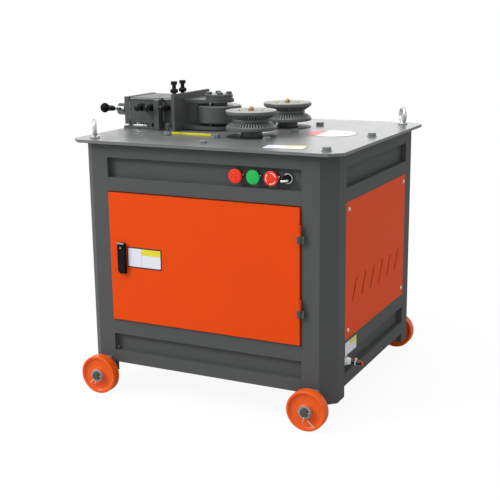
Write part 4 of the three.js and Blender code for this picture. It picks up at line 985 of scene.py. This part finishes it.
def label(name, matrix, half_width, half_height, body, header, divider=None, inset=0.0012):
    """A blank plate with a dark border, a pale field, a plain coloured header and a thin line."""
    layers(name, matrix, body, ("border", rounded(half_width, half_height, 0.004), 0, 0.0003, "label_border"),
           ("field", rounded(half_width - inset, half_height - inset, 0.0026), 0.0003, 0.0002, "label_white"))
    for part, edges, look in (("header", header, "label_yellow"), ("divider", divider, "label_line")):
        if edges:
            left, right, bottom, top = edges
            corners = [(left, bottom), (right, bottom), (right, top), (left, top)]
            layers(name, matrix, body, (part, corners, 0.0005, 0.0001, look))


# The table's bolts: their place, the distance to their corners, and their height
TABLE_BOLTS = {
    "corner_bolt_front": (0.347, -0.306, 0.0112, 0.0095),
    "corner_bolt_rear": (-0.351, 0.309, 0.0112, 0.0095),
    "right_bolt": (0.357, 0.0, 0.0112, 0.0095),
    "front_bolt": (-0.008, -0.296, 0.0112, 0.0075),
}
BOLT_TURN, STUD_TURN = 0.3, 0.4  # in radians
BOLT_FLANGE = 0.0142
STUD_SPOT = (-0.1855, -0.1789)
SCREW_LEVELS = {"upper": 0.565, "lower": 0.238}
COVER_SCREW_OFF, REAR_SCREW_OFF = 0.226, 0.27


def add_fasteners():
    for name, (x, y, reach, height) in TABLE_BOLTS.items():
        hexagon_bolt(name, at(x, y, TABLE), reach, height, BOLT_TURN, BOLT_FLANGE)
    foot = at(*STUD_SPOT, TABLE)
    hexagon_bolt("stud_nut", foot, 0.0108, 0.0095, STUD_TURN)
    washer = mm((0, 0), (11.8, 0), (11.8, 1.6), (0, 1.6))
    settle(spun("stud_washer", washer, foot, "up", SCREW_STEPS), "frame_paint", edge=0.0003)
    stud = mm((0, 0.5), (5, 0.5), (5, 32.2), (4.2, 33.4), (0, 33.4))
    settle(spun("stud", stud, foot, "up", SLIM_STEPS), "frame_paint", edge=0.0003)
    right, left, rear = high("cover_right").x, low("cover_left").x, high("cover_rear").y
    for end, y in (("front", -COVER_SCREW_OFF), ("rear", COVER_SCREW_OFF)):
        for level, z in SCREW_LEVELS.items():
            pan_screw(f"cover_screw_right_{end}_{level}", (right, y, z), "right")
            pan_screw(f"cover_screw_left_{end}_{level}", (left, y, z), "left")
    for end, x in (("left", -REAR_SCREW_OFF), ("right", REAR_SCREW_OFF)):
        for level, z in SCREW_LEVELS.items():
            pan_screw(f"cover_screw_rear_{end}_{level}", at(x, rear, z), "back")


SIDE_SCREWS = (-0.325, -0.292, -0.243)
SIDE_SCREW_RISE = 0.0665


def add_screw_ends():
    """The blued crowned ends of the clamping screws, which catch the light, and a bright strip in the gap under the
    trough, which is painted light where light shows through that gap.
    """
    crown = mm((0, 1.8), (3.8, 1.5), (7.2, 0.4), (9.4, -1.2), (10.5, -3), (10.5, -4.5), (0, -4.5))
    for i, x in enumerate(SIDE_SCREWS):
        place = at(x, low("side_gib").y, TABLE + SIDE_SCREW_RISE)
        settle(spun(f"side_screw_end_{i}", crown, place, "front", SLIM_STEPS), "blued_steel")
    # painted light: a bright zinc strip stands for the light seen through the gap under the trough
    gap_light = slab("trough_gap_light", at(-0.367, -0.0745, TABLE + 0.0065), at(-0.319, -0.068, TABLE + 0.0125))
    settle(gap_light, "zinc", edge=0.0006)


RIB_LEFT, RIB_RIGHT = -0.279, -0.262
FORK_FACE, FORK_WELD = -0.2044, 0.05


def add_welds():
    cover_low, cover_high = low("slide_cover"), high("slide_cover")
    front, left, right = cover_low.y, cover_low.x - MIDDLE, cover_high.x - MIDDLE
    seam, ridge = cover_low.z + 0.0006, cover_high.z + 0.0006
    below, lowest = seam - 0.005, cover_low.z - 0.066
    beads = {  # from and to, both sideways and upwards, how far proud of the cover, and the radius
        "housing_top": (left, seam, RIB_LEFT, seam, 0.0004, 0.0026),
        "housing_top_right": (RIB_RIGHT, seam, right - 0.003, seam, 0.0004, 0.0024),
        "housing_end": (left + 0.0008, below, left + 0.0008, lowest, 0, 0.0022),
        "rib_side": (RIB_RIGHT + 0.0006, below, RIB_RIGHT + 0.0006, lowest, 0, 0.0021),
        # the bead along the rib's top stands for the highlight there as well as for a weld
        "rib_top": (RIB_LEFT + 0.001, ridge, RIB_RIGHT - 0.001, ridge, 0, 0.0026),
    }
    for name, (x0, z0, x1, z1, proud, radius) in beads.items():
        weld_bead(name, at(x0, front - proud, z0), at(x1, front - proud, z1), radius)
    upper, lower = high("press_slide").z - 0.019, low("press_slide").z + 0.0105
    for level, z, reach in (("upper", upper, 0.053), ("lower", lower, 0.059)):
        for end, side in (("front", -1), ("rear", 1)):
            weld_bead(f"fork_{level}_{end}", at(FORK_FACE, side * reach, z),
                      at(FORK_FACE, side * (reach - FORK_WELD), z), 0.0016, "press_fork", "housing_paint")


def add_labels():
    label("door_label", Matrix.Translation(at(-0.1774, DOOR_FACE, 0.4033)) @ AXES["front"], 0.0556, 0.0296, "door",
          (-0.0088, 0.0518, 0.0082, 0.0258), (-0.0096, -0.0088, -0.0258, 0.0258), 0.0038)
    label("side_label", Matrix.Translation((high("rail_right_lower").x, -0.2015, 0.1878)) @ yaw(90) @ AXES["front"],
          0.0436, 0.0192, "frame", (-0.0068, 0.041, 0.0042, 0.0166))
    label("table_label", Matrix.Translation(at(0.222, -0.281, TABLE)) @ yaw(9.4), 0.0545, 0.031, "frame",
          (-0.006, 0.052, 0.0128, 0.0285))
    layers("turning_label", Matrix.Translation(at(0.233, 0.019, TABLE)), "frame",
           ("rim", arc((0, 0), 0.0705, 0, 355, 71), 0, 0.0003, "label_border"),
           ("field", arc((0, 0), 0.0682, 0, 355, 71), 0.0003, 0.0003, "label_white"),
           ("segment", arc((0, 0), 0.0676, 118, 248, 30), 0.0006, 0.0002, "label_red"))


# Stage, light and camera

FLOOR_HALF, FLOOR_DROP = 9, -0.0002
SOFT_LIGHT = 0.68


def grey(value):
    return (value, value, value, 1)


def make_stage():
    """A plain pale floor. It looks white to the camera and keeps a faint shadow of the machine."""
    corners = [(x * FLOOR_HALF, y * FLOOR_HALF, FLOOR_DROP) for x, y in ((-1, -1), (1, -1), (1, 1), (-1, 1))]
    floor = mesh_piece("floor", corners, [(0, 1, 2, 3)])
    material, tree, surface = new_material("pale_floor")
    surface.inputs["Roughness"].default_value = 0.9
    surface.inputs["Specular IOR Level"].default_value = 0.0
    seen = put(tree, "ShaderNodeLightPath").outputs["Is Camera Ray"]
    tree.links.new(blend_colours(tree, seen, grey(0.5), grey(0.95)), surface.inputs["Base Color"])
    glow = put(tree, "ShaderNodeEmission", {"Color": grey(1), "Strength": 1.0})
    share = times(tree, seen, spread(tree, distance(tree, own_place(tree)), 0.7, 1.8, 0.93, 1.0))
    mix = put(tree, "ShaderNodeMixShader", {0: share, 1: surface.outputs[0], 2: glow.outputs[0]})
    tree.links.new(mix.outputs[0], tree.nodes["Material Output"].inputs["Surface"])
    floor.data.materials.append(material)


def make_world():
    """White behind the machine as the camera sees it, and an even soft light on everything else."""
    world = bpy.data.worlds.new("studio")
    bpy.context.scene.world = world
    world.use_nodes = True
    tree = world.node_tree
    tree.nodes.clear()
    seen = put(tree, "ShaderNodeLightPath").outputs["Is Camera Ray"]
    soft, white = (put(tree, "ShaderNodeBackground", {"Color": grey(1), "Strength": strength}).outputs[0]
                   for strength in (SOFT_LIGHT, 1.0))
    mix = put(tree, "ShaderNodeMixShader", {0: seen, 1: soft, 2: white})
    put(tree, "ShaderNodeOutputWorld", {"Surface": mix.outputs[0]})


# Area lamps: place, aim, width, height and power
LAMPS = {
    "key": ((-4.3, -4.2, 4.2), (0.03, -0.1, 0.5), 2.2, 2.2, 270),
    "overhead": ((0.2, -0.7, 3.3), (0.0, 0.1, 0.6), 2.4, 2.0, 38),
    "back_panel": ((-0.5, 3.0, 1.5), (-0.2, 0, 0.75), 1.8, 1.7, 14),
    "back_panel_left": ((-2.3, 3.0, 1.5), (-0.6, 0, 0.75), 1.8, 1.7, 11),
}


def add_lamp(name, place, aim, width, height, power):
    lamp = bpy.data.lights.new(name, "AREA")
    lamp.shape = "RECTANGLE"
    lamp.size, lamp.size_y = width, height
    lamp.energy = power
    obj = new_object(name, lamp)
    obj.location = place
    obj.rotation_euler = (Vector(aim) - Vector(place)).to_track_quat("-Z", "Y").to_euler()
    obj.visible_camera = False


def make_camera():
    camera = bpy.data.cameras.new("camera")
    camera.lens = LENS
    camera.sensor_width = SENSOR
    camera.clip_end = 50
    obj = new_object("camera", camera)
    tilt = Matrix.Rotation(math.pi / 2 - CAMERA_RISE, 4, "X")
    obj.matrix_world = Matrix.Translation(CAMERA_AT) @ yaw(CAMERA_TURN) @ tilt @ yaw(CAMERA_ROLL)
    bpy.context.scene.camera = obj


make_camera()
supply_lead("supply_lead")
make_world()
make_stage()
for lamp_name, settings in LAMPS.items():
    add_lamp(lamp_name, *settings)

dress_cad()
for corner, pin in PINS.items():
    wheel("wheel_" + corner, "roller_" + corner)
    axle_end(corner, "axle_" + corner, pin)
for side in ("front", "rear"):
    drive_roll("drive_roll_" + side, "drive_" + side)
    grease_nipple("spindle_" + side, "drive_" + side)
    lifting_eye("lifting_eye_" + side)
    grip("crossbar_grip_" + side, "feed")
press_roll("press_roll", "press_wheel")
press_cap("press_pin", "press_fork")
mushroom("stop_button", "stop_head", "red_plastic", "dots")
mushroom("start_button", "start_head", "green_plastic", "dots")
mushroom("emergency_button", "emergency_head", "red_plastic", "arrows")
selector("selector_switch", "selector")
for head in ("stop_button", "start_button", "emergency_button"):
    bezel(head + "_bezel", middle(head).x)
bezel("selector_bezel", selector_centre().x, 0.9)
latch_lever("latch_lever", "latch")
feed_screw("feed_screw", "feed")
gland("supply_gland")
add_fasteners()
add_screw_ends()
add_welds()
add_labels()

bpy.context.scene.view_settings.view_transform = "Standard"
